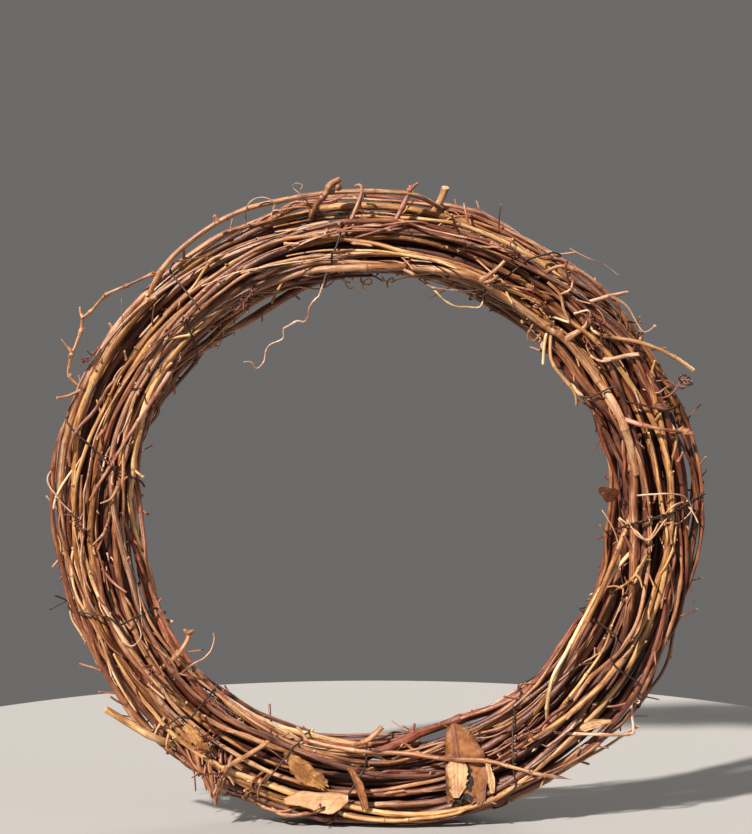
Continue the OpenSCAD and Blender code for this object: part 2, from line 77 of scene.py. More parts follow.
# angle of the ring, turn round the bundle, and length of each flower stalk
STALKS = [
    (12, 95, 16), (60, 60, 12), (118, 120, 14), (176, 100, 18), (186, 70, 14), (238, 80, 12),
    (300, 100, 14), (338, 130, 16), (150, 35, 12), (44, 75, 12), (47, 110, 14), (40, 95, 11), (52, 90, 10),
    (214, 100, 12), (262, 70, 10), (241, 70, 15), (231, 85, 14), (247, 30, 12), (36, 80, 12), (49, 60, 10),
]
# metres and degrees from here on
FLOOR_R, FLOOR_THICK, FLOOR_DROP, FLOOR_GREY = 0.34, 0.02, 0.0003, (0.36, 0.355, 0.345, 1)
VIEW_DISTANCE, VIEW_TALL, VIEW_ABOVE, VIEW_AT = 1.15, 0.385, 5.0, (0.0005, -0.01, RING_Z / 1000 + 0.0405)
SKY, SKY_STRENGTH = (1.0, 0.97, 0.95, 1), 0.15
# name, where it shines from, angle, power, colour
SUNS = (
    ("key", (-0.6, -0.75, 0.85), 3.0, 6.9, (1.0, 0.93, 0.86)),
    ("fill", (0.9, -0.7, 0.4), 50, 0.3, (0.95, 0.97, 1.0)),
    ("back", (0.5, 0.9, 0.7), 30, 1.1, (1.0, 0.96, 0.92)),
)


def sind(a):
    return math.sin(math.radians(a))


def cosd(a):
    return math.cos(math.radians(a))


def noise(i, k):
    """A number from 0 to 1 that is always the same for the same i and k."""
    v = sind((i + CANE_SEED) * 127.1 + k * 311.7) * 43758.5453
    return v - math.floor(v)


def mid_r(phi):
    """The radius of the bundle's middle at an angle of the ring."""
    return RING_R - RING_SHIFT * cosd(phi - SHIFT_SIDE)


def spread(phi):
    """How thick the bundle is at an angle of the ring, against its thickness as laid."""
    return (1 + THICK_MORE * cosd(2 * (phi - THICK_SIDE))) / (1 - THICK_MORE)


def at(phi, a, b):
    """A point in space from its place in the bundle: a outwards from the middle, b forwards."""
    r = mid_r(phi) + a
    return np.array([r * cosd(phi), -b, RING_Z + r * sind(phi)])


def random_cane(j):
    """[diameter, first station, stations, place round the bundle, turn, swings]"""
    calm = 0.1 if j < CORE_CANES else CANE_WANDER
    back = -0.6 if j >= CORE_CANES and noise(j, 5) < 0.3 else 1
    return [
        CANE_THIN + CANE_SPREAD * noise(j, 1) ** 1.1,
        math.floor(STATIONS * noise(j, 2)),
        math.floor(CANE_TURNS * STATIONS * (0.85 + 0.3 * noise(j, 3)) * (0.9 if j == 0 else 1) + 0.5),
        GOLDEN_TURN * j,
        back * (50 + 20 * noise(j, 4) + 125 / (1 + j)),
        [
            [calm * (18 + 14 * noise(j, 6)), 1.3 + 0.5 * noise(j, 7), 360 * noise(j, 8)],
            [calm * (8 + 8 * noise(j, 9)), 2.6 + 0.8 * noise(j, 10), 360 * noise(j, 11)],
            [calm * (2 + 4 * noise(j, 12)), 5 + 1.5 * noise(j, 13), 360 * noise(j, 14)],
        ],
    ]


def clear_of(u, r, q, s):
    """How far out a cane of radius r has to lie, in direction u, to clear a cane q of radius s."""
    on_u = u @ q
    left = (r + s + CANE_GAP) ** 2 - (q @ q - on_u * on_u)
    return on_u + math.sqrt(left) if left > 0 else 0.0


def ease(v):
    """The greatest of each value's neighbours, smoothed."""
    near = np.clip(np.arange(len(v))[:, None] + [-1, 0, 1], 0, len(v) - 1)
    return v[near].max(1)[near].mean(1)


def lay(c, laid):
    """A cane as (its values, its places in the bundle, its radii), laid on the ones before it."""
    n = c[2]
    ks = np.arange(n + 1)
    round_it = c[3] + c[4] * ks * STEP / 360
    for swing, rate, start in c[5]:
        round_it = round_it + swing * np.sin(np.radians(rate * ks * STEP + start))
    u = np.stack([np.cos(np.radians(round_it)), np.sin(np.radians(round_it))], 1)
    rads = c[0] / 2 * (1.12 - 0.34 * ks / n)
    need = rads + 0.1
    for o in laid:
        for k in range(n + 1):
            for m in range((c[1] + k - o[0][1]) % STATIONS, o[0][2] + 1, STATIONS):
                need[k] = max(need[k], clear_of(u[k], rads[k], o[1][m], o[2][m]))
    first = ease(need)[:, None] * u
    for k in range(STATIONS, n + 1):
        for m in range(k - STATIONS, -1, -STATIONS):
            need[k] = max(need[k], clear_of(u[k], rads[k], first[m], rads[m]))
    return (c, ease(need)[:, None] * u, rads)


def random_vine(i):
    """A thin vine wound over the canes, as the same values as a cane."""
    rng = np.random.RandomState(VINE_SEED + i)
    return [
        rng.uniform(1.5, 3.0),
        int(rng.randint(STATIONS)),
        int(STATIONS * rng.uniform(0.4, 1.2)),
        GOLDEN_TURN * i + 40,
        rng.choice([-1, 1, 1]) * rng.uniform(20, 130),
        [
            [rng.uniform(8, 22), rng.uniform(1.1, 2.0), rng.uniform(0, 360)],
            [rng.uniform(4, 10), rng.uniform(2.8, 4.6), rng.uniform(0, 360)],
            [rng.uniform(1, 4), rng.uniform(6, 11), rng.uniform(0, 360)],
        ],
    ]


bundle = []
for values in [random_cane(j) for j in range(CANE_TOTAL)] + CHOSEN:
    bundle.append(lay(values, bundle))
for i in range(VINES):
    values, places, rads = lay(random_vine(i), bundle)
    bundle.append((values, places * (1 - VINE_SINK / np.linalg.norm(places, axis=1))[:, None], rads))


def passes(phi):
    """Where each cane passes at an angle of the ring, and its radius there."""
    s = math.floor(phi / STEP)
    f = phi / STEP - s
    found = []
    for c, places, rads in bundle:
        for m in range((s - c[1]) % STATIONS, c[2], STATIONS):
            found.append((spread(phi) * ((1 - f) * places[m] + f * places[m + 1]), rads[m]))
    return found


def front_at(x, z):
    """How far forward the bundle's front is at a place on it, from the ring's centre."""
    phi, a = math.degrees(math.atan2(z, x)) + 360, math.hypot(x, z)
    a -= mid_r(phi)
    return max([4.0] + [q[1] + r for q, r in passes(phi) if abs(q[0] - a) < r + 1.6])


def on(x, z, off):
    """A point off in front of the bundle, or inside it where off is negative."""
    return (x, -front_at(x, z) - off, z)


def bed_at(phi, turn, r, off=0.0):
    """Where a limb of radius r rests on the outside of the bundle, and the ways out and along the ring."""
    u = np.array([cosd(turn), sind(turn)])
    far = max([8.0] + [clear_of(u, r, q, s) for q, s in passes(phi)]) + off
    out = np.array([u[0] * cosd(phi), -u[1], u[0] * sind(phi)])
    return at(phi, far * u[0], far * u[1]), out, np.array([-sind(phi), 0, cosd(phi)])


# ---------------------------------------------------------------- lines
def unit(v):
    """The way of v, with a length of 1."""
    v = np.asarray(v, float)
    return v / np.linalg.norm(v)


def smooth(points, bends):
    """A smooth line through a few points."""
    p = np.asarray(points, float)
    n = len(p) - 1
    t = np.linspace(0, n, n * bends + 1)
    i = np.minimum(t.astype(int), n - 1)
    t = (t - i)[:, None]
    a, b, c, d = p[np.maximum(i - 1, 0)], p[i], p[i + 1], p[np.minimum(i + 2, n)]
    return 0.5 * (2 * b + (c - a) * t + (2 * a - 5 * b + 4 * c - d) * t**2 + (3 * b - a - 3 * c + d) * t**3)


def lengths(line):
    """The distance along a line of each of its points."""
    return np.concatenate([[0], np.cumsum(np.linalg.norm(np.diff(line, axis=0), axis=1))])


def even(line, gap, *others):
    """The line, and values along it, at even steps of about gap."""
    s = lengths(line)
    t = np.linspace(0, s[-1], max(3, round(s[-1] / gap) + 1))
    made = [np.stack([np.interp(t, s, line[:, k]) for k in range(3)], 1)]
    return made + [np.interp(t, s, o) for o in others]


def slow_noise(rng, s, wave):
    """Smooth random values from -1 to 1 along s, with about one swing for each wave."""
    s = np.asarray(s, float)
    knots = rng.uniform(-1, 1, int(s.max() / wave) + 4)
    x = s / wave + 1
    i = x.astype(int)
    f = x - i
    f = f * f * (3 - 2 * f)
    return knots[i] * (1 - f) + knots[i + 1] * f


def wander(rng, s, wave):
    """Slow noise in each of the three directions."""
    return np.stack([slow_noise(rng, s, wave) for _ in range(3)], 1)


def rng_of(name):
    """A named piece's own random numbers, so that changing one piece leaves the others as they are."""
    return np.random.RandomState(sum(map(ord, name)))


# ---------------------------------------------------------------- meshes
class Solid:
    """The points and faces of one piece, with what its material reads at each point.

    grain: a place in the straightened cane, in mm. mark: cut wood, node, tone, each from 0 to 1; on the
    canes the tone holds painted light and shade as well.
    """

    def __init__(self):
        self.points, self.faces, self.flat, self.grain, self.mark = [], [], [], [], []
        self.count = 0

    def add(self, points, faces, grain, mark, flat=None):
        self.points.append(points)
        self.grain.append(grain)
        self.mark.append(mark)
        self.faces += [tuple(int(i) + self.count for i in f) for f in faces]
        self.flat += flat if flat is not None else [False] * len(faces)
        self.count += len(points)


def side_frames(line):
    """The ways along and across a line, without twist."""
    along = np.gradient(line, axis=0)
    along /= np.linalg.norm(along, axis=1)[:, None]
    us = np.empty_like(line)
    u = unit(np.cross(along[0], [0.31, 0.9, 0.22]))
    for k, t in enumerate(along):
        u = unit(u - (u @ t) * t)
        us[k] = u
    return along, us, np.cross(along, us)


def skin(ids):
    """The side faces of a limb whose cross-sections are the rows of ids."""
    nxt = np.roll(ids, -1, 1)
    return np.stack([ids[:-1], nxt[:-1], nxt[1:], ids[1:]], -1).reshape(-1, 4).tolist()


def tube(solid, line, rads, sides, rng, tone, ridge=0.05, node=None, cut=(1, 1), slant=0.25):
    """A closed round limb along a line, with a ridged skin and two cut ends."""
    line, rads = np.array(line, float), np.asarray(rads, float)
    line[:, 2] = np.maximum(line[:, 2], 1.1 * rads)
    n = len(line)
    s = lengths(line)
    along, us, vs = side_frames(line)
    angles = np.linspace(0, 2 * math.pi, sides, endpoint=False)[None, :]
    bark = np.ones((n, sides))
    for waves, share, twist in FLUTES:
        if sides >= 2.4 * waves:
            depth = ridge * share * (1 + 0.8 * slow_noise(rng, s, 14))[:, None]
            bark += depth * np.cos(waves * angles + twist * s[:, None] * waves + rng.uniform(0, 6.3))
    if ridge:
        bark += rng.normal(0, ridge * 0.18, bark.shape)
    ring = np.cos(angles)[..., None] * us[:, None] + np.sin(angles)[..., None] * vs[:, None]
    body = line[:, None] + rads[:, None, None] * bark[..., None] * ring
    grain = rads[:, None] * np.cos(angles), rads[:, None] * np.sin(angles), np.repeat(s[:, None], sides, 1)
    grain = np.stack(grain, -1) + rng.uniform(-400, 400, 3)
    tone = np.broadcast_to(tone, (n,))
    node = np.zeros(n) if node is None else node
    mark = np.stack([np.zeros(n), node, tone], -1)[:, None].repeat(sides, 1)
    ids = np.arange(n * sides).reshape(n, sides)
    faces = skin(ids)
    flat = [False] * len(faces)
    points, grains, marks = [body.reshape(-1, 3)], [grain.reshape(-1, 3)], [mark.reshape(-1, 3)]
    total = n * sides
    # each end is cut at a slant, with a narrow rim and a middle that has sunk a little
    for end, way in ((0, -1), (n - 1, 1)):
        rim = ids[end]
        lean = slant * rads[end] * np.cos(angles[0] + rng.uniform(0, 6.3)) if cut[end > 0] else 0 * angles[0]
        points[0] = points[0].copy()
        points[0][rim] += lean[:, None] * along[end]
        last = rim
        for share, push in ((0.9, 0.06), (0.55, 0.0)):
            pts = line[end] + share * (points[0][rim] - line[end]) + way * push * rads[end] * along[end]
            points.append(pts)
            grains.append(grain[end] * 1.0)
            marks.append(np.tile([float(cut[end > 0]), 0.3 if share < 0.9 else 0.0, tone[end]], (sides, 1)))
            ring_ids = total + np.arange(sides)
            total += sides
            quads = zip(last, ring_ids, np.roll(ring_ids, -1), np.roll(last, -1))
            faces += [quad[::-way] for quad in quads]
            flat += [True] * sides
            last = ring_ids
        points.append(line[end][None] - way * 0.12 * rads[end] * along[end][None])
        grains.append(grain[end].mean(0)[None])
        marks.append(np.array([[float(cut[end > 0]), 1.0, tone[end]]]))
        faces += [(a, total, b)[::-way] for a, b in zip(last, np.roll(last, -1))]
        flat += [True] * sides
        total += 1
    solid.add(np.concatenate(points), faces, np.concatenate(grains), np.concatenate(marks), flat)


def stub(solid, foot, way, length, d, rng, tone, bend=0.25, sides=8, taper=0.75, cut=1, collar=0.5):
    """A short side shoot that leaves a limb at foot and ends in a cut."""
    way = unit(way)
    side = unit(np.cross(way, rng.normal(size=3)))
    t = np.linspace(0, 1, max(6, int(length / 1.1) + 3))
    line = foot + way * (t * length)[:, None] + side * (bend * length * t**2)[:, None]
    rads = d / 2 * (1 - (1 - taper) * t) * (1 + collar * np.exp(-((t * length / (0.6 * d)) ** 2)))
    rads = rads * (1 + 0.12 * np.exp(-(((t - 0.86) * length / 1.2) ** 2)))
    tube(solid, line, rads, sides, rng, tone, ridge=0.09, node=0.4 * (t < 0.2), cut=(0, cut))


def place_nodes(rng, total, low, high):
    """Distances along a limb of its nodes."""
    at_s, s = [], rng.uniform(0.2, 0.9) * high
    while s < total - 6:
        at_s.append(s)
        s += rng.uniform(low, high)
    return np.array(at_s)


def swell(s, nodes, size, wide):
    """How much a limb swells at s, and how near it is to a node."""
    bump, near = np.zeros_like(s), np.zeros_like(s)
    for at_s in nodes:
        bump += size * np.exp(-(((s - at_s) / wide) ** 2))
        near = np.maximum(near, np.exp(-(((s - at_s - 0.35 * wide) / (0.42 * wide)) ** 2)))
    return bump, near


def kinks(rng, s, nodes, size):
    """A small zigzag that turns at the nodes."""
    stops = np.concatenate([[0], nodes, [s[-1] + 1]])
    moves = rng.normal(0, size, (len(stops), 3))
    return np.stack([np.interp(s, stops, moves[:, k]) for k in range(3)], 1)


def link(name, data):
    """A new object in the scene."""
    made = bpy.data.objects.new(name, data)
    bpy.context.scene.collection.objects.link(made)
    return made


def finish_piece(name, solid, material, node=None, slot=None):
    """Makes the object, in metres. With a node, it stands for that CAD solid."""
    mesh = bpy.data.meshes.new(name)
    points = np.concatenate(solid.points) / 1000
    mesh.from_pydata(points.tolist(), [], solid.faces)
    for key, values in (("grain", solid.grain), ("mark", solid.mark)):
        layer = mesh.attributes.new(key, "FLOAT_VECTOR", "POINT")
        layer.data.foreach_set("vector", np.concatenate(values).astype(np.float32).ravel())
    mesh.polygons.foreach_set("use_smooth", [not f for f in solid.flat])
    mesh.validate()
    mesh.update()
    piece = link(name, mesh)
    mesh.materials.append(material)
    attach(piece, "root")
    if node:
        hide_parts(node)
    return piece


# ---------------------------------------------------------------- materials
def srgb(text):
    """A linear colour from its hex code."""
    rgb = [int(text[i : i + 2], 16) / 255 for i in (1, 3, 5)]
    return tuple(c / 12.92 if c <= 0.04045 else ((c + 0.055) / 1.055) ** 2.4 for c in rgb) + (1.0,)


class Nodes:
    """A material's node tree, with short ways to add nodes."""

    def __init__(self, name):
        self.material = bpy.data.materials.new(name)
        self.material.use_nodes = True
        self.tree = self.material.node_tree
        self.shader = next(n for n in self.tree.nodes if n.type == "BSDF_PRINCIPLED")

    def finish(self, **inputs):
        """Sets the shader's inputs, with _ for a space in their names."""
        for name, value in inputs.items():
            self.put(self.shader.inputs[name.replace("_", " ")], value)
        return self.material

    def put(self, target, value):
        if isinstance(value, bpy.types.NodeSocket):
            self.tree.links.new(value, target)
        else:
            target.default_value = value

    def node(self, kind, inputs=(), **settings):
        made = self.tree.nodes.new(kind)
        for k, v in settings.items():
            setattr(made, k, v)
        for k, v in dict(inputs).items():
            self.put(made.inputs[k], v)
        return made

    def attribute(self, name):
        return self.node("ShaderNodeAttribute", attribute_name=name).outputs["Vector"]

    def marks(self):
        """The three numbers of a piece's mark."""
        return self.node("ShaderNodeSeparateXYZ", {0: self.attribute("mark")}).outputs

    def stretched(self, vector, scale):
        return self.node("ShaderNodeMapping", {"Vector": vector, "Scale": scale}).outputs["Vector"]

    def noise(self, vector, scale, detail=3.0, rough=0.55, distortion=0.0):
        return self.node(
            "ShaderNodeTexNoise",
            {
                "Vector": vector, "Scale": scale, "Detail": detail, "Roughness": rough,
                "Distortion": distortion,
            },
        ).outputs["Fac"]

    def math(self, kind, a, b=0.0, clamp=False):
        return self.node("ShaderNodeMath", {0: a, 1: b}, operation=kind, use_clamp=clamp).outputs[0]

    def times(self, a, b):
        return self.math("MULTIPLY", a, b)

    def plus(self, a, b):
        return self.math("ADD", a, b)

    def step(self, value, low, high, share=None):
        """From 0 at low to 1 at high, or to share."""
        made = self.node(
            "ShaderNodeMapRange",
            {"Value": value, "From Min": low, "From Max": high},
            interpolation_type="SMOOTHSTEP",
        ).outputs["Result"]
        return made if share is None else self.times(made, share)

    def between(self, value, low, high, to_low, to_high):
        return self.node(
            "ShaderNodeMapRange",
            {"Value": value, "From Min": low, "From Max": high, "To Min": to_low, "To Max": to_high},
        ).outputs["Result"]

    def ramp(self, value, places, colours):
        """Colours, as hex codes with spaces between them, at their places along the values."""
        made = self.node("ShaderNodeValToRGB", {"Fac": value})
        bars = made.color_ramp.elements
        while len(bars) < len(places):
            bars.new(0.5)
        for bar, place, colour in zip(bars, places, colours.split()):
            bar.position, bar.color = place, srgb(colour)
        return made.outputs["Color"]

    def mix(self, fac, a, b, kind="MIX"):
        made = self.node("ShaderNodeMix", data_type="RGBA", blend_type=kind)
        self.put(made.inputs[0], fac)
        self.put(made.inputs[6], a)
        self.put(made.inputs[7], b)
        return made.outputs[2]

    def bump(self, height, strength, distance):
        made = self.node("ShaderNodeBump", {"Height": height, "Strength": strength, "Distance": distance})
        return made.outputs["Normal"]


def bark_material(name, warm, colours):
    """Dry vine bark: long fibres, darker cracks, bleached streaks, dark nodes and pale cut ends."""
    m = Nodes(name)
    grain = m.attribute("grain")
    cut, node, tone = m.marks()
    streaks = m.noise(m.stretched(grain, (1, 1, 0.06)), 1.5, 4.0, 0.6)
    fibres = m.noise(m.stretched(grain, (1, 1, 0.035)), 5.0, 2.0, 0.6)
    patches = m.noise(m.stretched(grain, (0.6, 0.6, 0.35)), 0.16, 3.0, 0.55)
    cracks = m.noise(m.stretched(grain, (1, 1, 0.08)), 2.6, 3.0, 0.65, 0.4)
    spots = m.node("ShaderNodeTexVoronoi", {"Vector": m.stretched(grain, (1, 1, 0.35)), "Scale": 1.1})
    level = m.plus(m.times(streaks, 0.8), m.times(fibres, 0.4))
    level = m.plus(level, m.times(patches, 0.6))
    # the tone moves the colour along the ramp; on the canes it holds painted light and painted shade as well
    # as their own tone
    level = m.plus(level, m.times(m.math("SUBTRACT", tone, 0.5), 0.5))
    base = m.ramp(m.math("SUBTRACT", level, 0.4, True), (0.22, 0.4, 0.54, 0.7, 0.86), colours)
    base = m.mix(m.step(patches, 0.46, 0.7, 0.35), base, srgb(warm), "SOFT_LIGHT")
    base = m.mix(m.step(cracks, 0.43, 0.33, 0.75), base, srgb("#380f05"))
    base = m.mix(m.step(spots.outputs["Distance"], 0.2, 0.1, 0.55), base, srgb("#3a1d10"))
    base = m.mix(m.step(node, 0.35, 0.95, 0.7), base, srgb("#35190e"))
    wood = m.mix(m.step(m.noise(grain, 2.4, 3.0), 0.3, 0.7), srgb("#b58a5c"), srgb("#dcb988"))
    wood = m.mix(m.step(node, 0.6, 1.0), wood, srgb("#6b4025"))
    return m.finish(
        Base_Color=m.mix(m.step(cut, 0.3, 0.7), base, wood),
        Roughness=m.between(streaks, 0.3, 0.7, 0.32, 0.6),
        Normal=m.bump(m.plus(m.times(cracks, 0.7), m.times(fibres, 0.5)), 0.55, 0.0004),
        Specular_IOR_Level=0.75,
    )


def wire_material(name):
    """Dark annealed wire with a little rust."""
    m = Nodes(name)
    grain = m.attribute("grain")
    rust = m.step(m.noise(grain, 0.35, 4.0), 0.48, 0.62, 0.5)
    fine = m.noise(grain, 3.0, 3.0)
    return m.finish(
        Base_Color=m.mix(rust, m.mix(fine, srgb("#2b2320"), srgb("#4a3a31")), srgb("#5d3a26")),
        Roughness=m.between(fine, 0.0, 1.0, 0.35, 0.7),
        Normal=m.bump(fine, 0.2, 0.0001),
        Metallic=0.55,
    )


def leaf_material(name, vein, colours):
    """A dry leaf: blotches, veins that stand out, brittle darker edges, and near-black patches of painted
    shade.
    """
    m = Nodes(name)
    grain = m.attribute("grain")
    painted_shade, veins, edge = m.marks()
    blotch = m.noise(grain, 0.14, 4.0, 0.6, 0.5)
    fine = m.noise(m.stretched(grain, (0.22, 1, 1)), 1.6, 4.0, 0.6)
    level = m.plus(m.times(blotch, 0.7), m.times(fine, 0.3))
    base = m.ramp(level, (0.3, 0.46, 0.58, 0.72), colours)
    base = m.mix(m.step(edge, 0.55, 1.0, 0.55), base, srgb(colours.split()[0]))
    base = m.mix(m.step(veins, 0.35, 0.9, 0.35), base, srgb(vein))
    # near-black painted shade where the first mark is -1
    return m.finish(
        Base_Color=m.mix(m.step(painted_shade, -0.3, -0.6), base, srgb("#1c0a05")),
        Roughness=m.between(fine, 0.0, 1.0, 0.5, 0.85),
        Normal=m.bump(m.plus(m.times(veins, 0.6), m.times(fine, 0.5)), 0.6, 0.0006),
    )


# name, the tint of its warm patches, and its colours from dark to bleached
BARK = {
    row[0]: bark_material(*row)
    for row in (
        ("bark_brown", "#c08055", "#44140a #6a3018 #935a38 #c09068 #ecd2b8"),
        ("bark_tan", "#c8935f", "#4a1d0a #7c4625 #ab764c #d2a780 #f4dfc4"),
        ("bark_red", "#b86c4a", "#400f06 #642815 #8a4a30 #b67d5e #e8c8b0"),
        ("bark_golden", "#cfa05e", "#4e200a #87532a #ba864c #dcb27c #f5e0ba"),
        ("bark_grey", "#b08468", "#42180c #6a3a24 #946548 #c0987c #ecd6c2"),
    )
}
SLOTS = ["bark_brown", "bark_grey", "bark_red", "bark_golden", "bark_tan"]
WIRE = wire_material("dark_wire")
# name, the colour of its veins, and its colours from dark to pale
LEAF = {
    row[0]: leaf_material(*row)
    for row in (
        ("leaf_brown", "#552a12", "#43200f #73401f #96602f #bb824b"),
        ("leaf_tan", "#a67a50", "#94663e #b98c62 #cda67c #e0c4a0"),
        ("leaf_red", "#7c4a2e", "#6c3a22 #92573a #b27c58 #d0a27c"),
        ("leaf_golden", "#74451f", "#5c3014 #8e5b2c #b5834a #d2a569"),
    )
}


# ---------------------------------------------------------------- wound canes
def ways_at(j, k):
    """The ways out of the bundle and along the ring at a station of a cane."""
    c, places, _ = bundle[j]
    phi = (c[1] + k) * STEP
    p = places[k]
    d = p / np.linalg.norm(p)
    out = np.array([d[0] * cosd(phi), -d[1], d[0] * sind(phi)])
    return out, np.array([-sind(phi), 0, cosd(phi)])


def room_over(j, k, reach):
    """How far a point that stands off a cane by reach is from every other cane."""
    c, places, _ = bundle[j]
    tip = places[k] * (1 + reach / np.linalg.norm(places[k]))
    gap = 9.0
    for i, (oc, op, orad) in enumerate(bundle):
        for e in (-1, 0, 1):
            for m in range((c[1] + k + e - oc[1]) % STATIONS, oc[2] + 1, STATIONS):
                if i != j or abs(m - k) > 3:
                    gap = min(gap, np.linalg.norm(tip - op[m]) - orad[m])
    return gap


def tone_with_painted_light(points, rng, s, own):
    """Paler towards the left and the top, darker and redder towards the right: partly the canes' own colour,
    partly painted light from the upper left, where the key light is.
    """
    side = (0.35 * (points[:, 2] - RING_Z) - points[:, 0]) / 150
    # 0.15 * side is partly the canes' own colour shift and partly a painted highlight on the side the key
    # light comes from
    tone = 0.5 + own + 0.15 * side + 0.16 * slow_noise(rng, s, 70)
    return np.clip(tone + 0.1 * slow_noise(rng, s, 23), 0, 1)


def buried(station, place, r):
    """From 0 on the outside of the bundle to 1 deep inside it; build_cane darkens the canes by it as painted
    shade.
    """
    phi = station * STEP
    own = np.linalg.norm(place)
    far = max([own] + [clear_of(place / own, 0.2, q, s) for q, s in passes(phi)])
    return min(max(far / spread(phi) - own - 1.2 * r, 0) / 6, 1)


def build_cane(j):
    """One wound cane or thin vine, with swollen nodes and cut side shoots."""
    rng = np.random.RandomState(CANE_DRAW + j)
    c, places, rads = bundle[j]
    core, vine = j < CORE_CANES, j > CANE_TOTAL
    ks = np.arange(c[2] + 1)
    tuck = np.minimum(ks, c[2] - ks)
    if not core:
        places = places * np.clip(0.84 + 0.05 * tuck, 0, 1)[:, None]
        rads = rads * np.clip(0.55 + 0.07 * ks, 0, 1) * np.clip(0.35 + 0.065 * (c[2] - ks), 0, 1)
    between = 4 if core else 5
    fine = smooth(np.column_stack([places, rads]), between)
    phi = (c[1] + np.linspace(0, c[2], len(fine))) * STEP
    grow = np.array([spread(p) for p in phi])
    line = np.stack([at(p, a, b) for p, a, b in zip(phi, grow * fine[:, 0], grow * fine[:, 1])])
    s = lengths(line)
    nodes = place_nodes(rng, s[-1], *CANE_NODES)
    bump, near = swell(s, nodes, NODE_SWELL, NODE_WIDE)
    wide = fine[:, 2] * (1 if vine else SLIM) * (1 + 0.08 * slow_noise(rng, s, 18) + bump)
    if not core:
        line = line + kinks(rng, s, nodes, 1.0 if vine else 0.8)
        line = line + 0.3 * wander(rng, s, 11)
    solid = Solid()
    # the core canes lie inside the bundle and are made 0.25 darker: painted shade
    own = rng.uniform(-0.2, 0.2) - (0.25 if core else 0)
    # painted shade: the tone drops by up to 0.5 where a cane lies deep among the others
    deep = [buried(c[1] + k, places[k], rads[k]) for k in ks]
    tone = tone_with_painted_light(line, rng, s, own) - 0.5 * np.interp(np.linspace(0, c[2], len(fine)), ks, deep)
    sides = 9 if core or vine else 12
    tube(solid, line, wide, sides, rng, tone, ridge=0.06, node=near * rng.uniform(0.6, 1))
    if not core:
        for at_s in nodes:
            k = int(round(np.interp(at_s, s, np.linspace(0, c[2], len(fine)))))
            i = int(np.argmin(abs(s - at_s)))
            if 1 < k < c[2] - 1 and rng.rand() < 0.85:
                out, ahead = ways_at(j, k)
                if room_over(j, k, 4.5) > 0.8 and at(phi[i], *(grow[i] * fine[i, :2]))[2] > STUB_LOW:
                    lean = rng.choice([-1, 1]) * rng.uniform(0.5, 1.6)
                    across = np.cross(out, ahead) * rng.normal(0, 0.35)
                    length = wide[i] + rng.choice(STUB_LENGTHS, p=STUB_ODDS) * rng.uniform(0.8, 1.3)
                    d, bend = wide[i] * rng.uniform(0.6, 1.0), rng.uniform(-0.2, 0.3)
                    foot = line[i] + 0.2 * wide[i] * out
                    stub(solid, foot, out + lean * ahead + across, length, d, rng, tone[i], bend)
    if vine:
        return finish_piece(f"fine_vine_{j - CANE_TOTAL:02d}", solid, BARK[SLOTS[j * 3 % 5]])
    slot = SLOTS[j % 5]
    return finish_piece(f"cane_{j + 1:02d}_bark", solid, BARK[slot], f"cane_{j + 1:02d}", slot)


for j in range(len(bundle)):
    build_cane(j)


# ---------------------------------------------------------------- binding wire
def tight(phi, reach, turn, off):
    """Where a wire pulled tight touches the bundle, in the sections within reach of phi."""
    u = np.array([cosd(turn), sind(turn)])
    near = [p for turned in (-reach, 0, reach) for p in passes(phi + turned)]
    q, r = max(near, key=lambda c: c[0] @ u + c[1])
    return q + (r + WIRE_THIN / 2 + off) * u


def wire_line(i, off=0.0):
    """One loop of the wire: across the front, then round the back to the next loop."""
    way = -1 if i == WIRE_KNOT else 1
    after = -1 if i + 1 == WIRE_KNOT else 1
    phi, slant = WIRE_AT[i]
    start, end = phi - way * slant / 2, phi + way * slant / 2
    turns = np.arange(0, 180, 5.0)
    flat = np.array([tight(phi, WIRE_REACH, t, off) for t in turns])
    share = lengths(flat) / lengths(flat)[-1]
    front = start + (end - start) * share
    line = [at(p, *tight(p, WIRE_REACH, t, off)) for p, t in zip(front, turns)]
    if i + 1 < len(WIRE_AT):
        start, end = end, WIRE_AT[i + 1][0] - after * WIRE_AT[i + 1][1] / 2
        for t in np.arange(180, 360, 5.0):
            f = min(max((t - 225) / 90, 0), 1)
            phi = start + (end - start) * f
            line.append(at(phi, *tight(phi, WIRE_REACH, t, off)))
    return line


def build_wire():
    """The binding wire, its two free ends, and the two strands twisted round it at the knot."""
    rng = np.random.RandomState(WIRE_DRAW)
    solid = Solid()
    line = even(np.array([p for i in range(len(WIRE_AT)) for p in wire_line(i)]), 1.6)[0]
    s = lengths(line)
    for _ in range(3):
        line[1:-1] = (line[:-2] + 2 * line[1:-1] + line[2:]) / 4
    line = line + 0.25 * wander(rng, s, 9)
    tube(solid, line, np.full(len(line), WIRE_THIN / 2), 8, rng, 0.5, ridge=0.02)
    for way, length in ((unit([-0.86, -0.1, -0.35]), 9.0), (unit([-0.8, -0.2, 0.5]), 6.5)):
        stub(solid, line[0], way, length, WIRE_THIN * 0.9, rng, 0.5, bend=0.1, taper=0.95, collar=0)
    knot = np.array(wire_line(WIRE_KNOT, 0.5)[5:30])
    knot = even(knot, 0.7)[0]
    s = lengths(knot)
    _, us, vs = side_frames(knot)
    for side in (0, math.pi):
        turn = (s * KNOT_TURN + side)[:, None]
        strand = knot + 0.55 * (np.cos(turn) * us + np.sin(turn) * vs)
        tube(solid, strand, np.full(len(s), KNOT_THIN / 2), 6, rng, 0.5, ridge=0)
    finish_piece("binding_wire_strand", solid, WIRE, "binding_wire", "dark_wire")


build_wire()


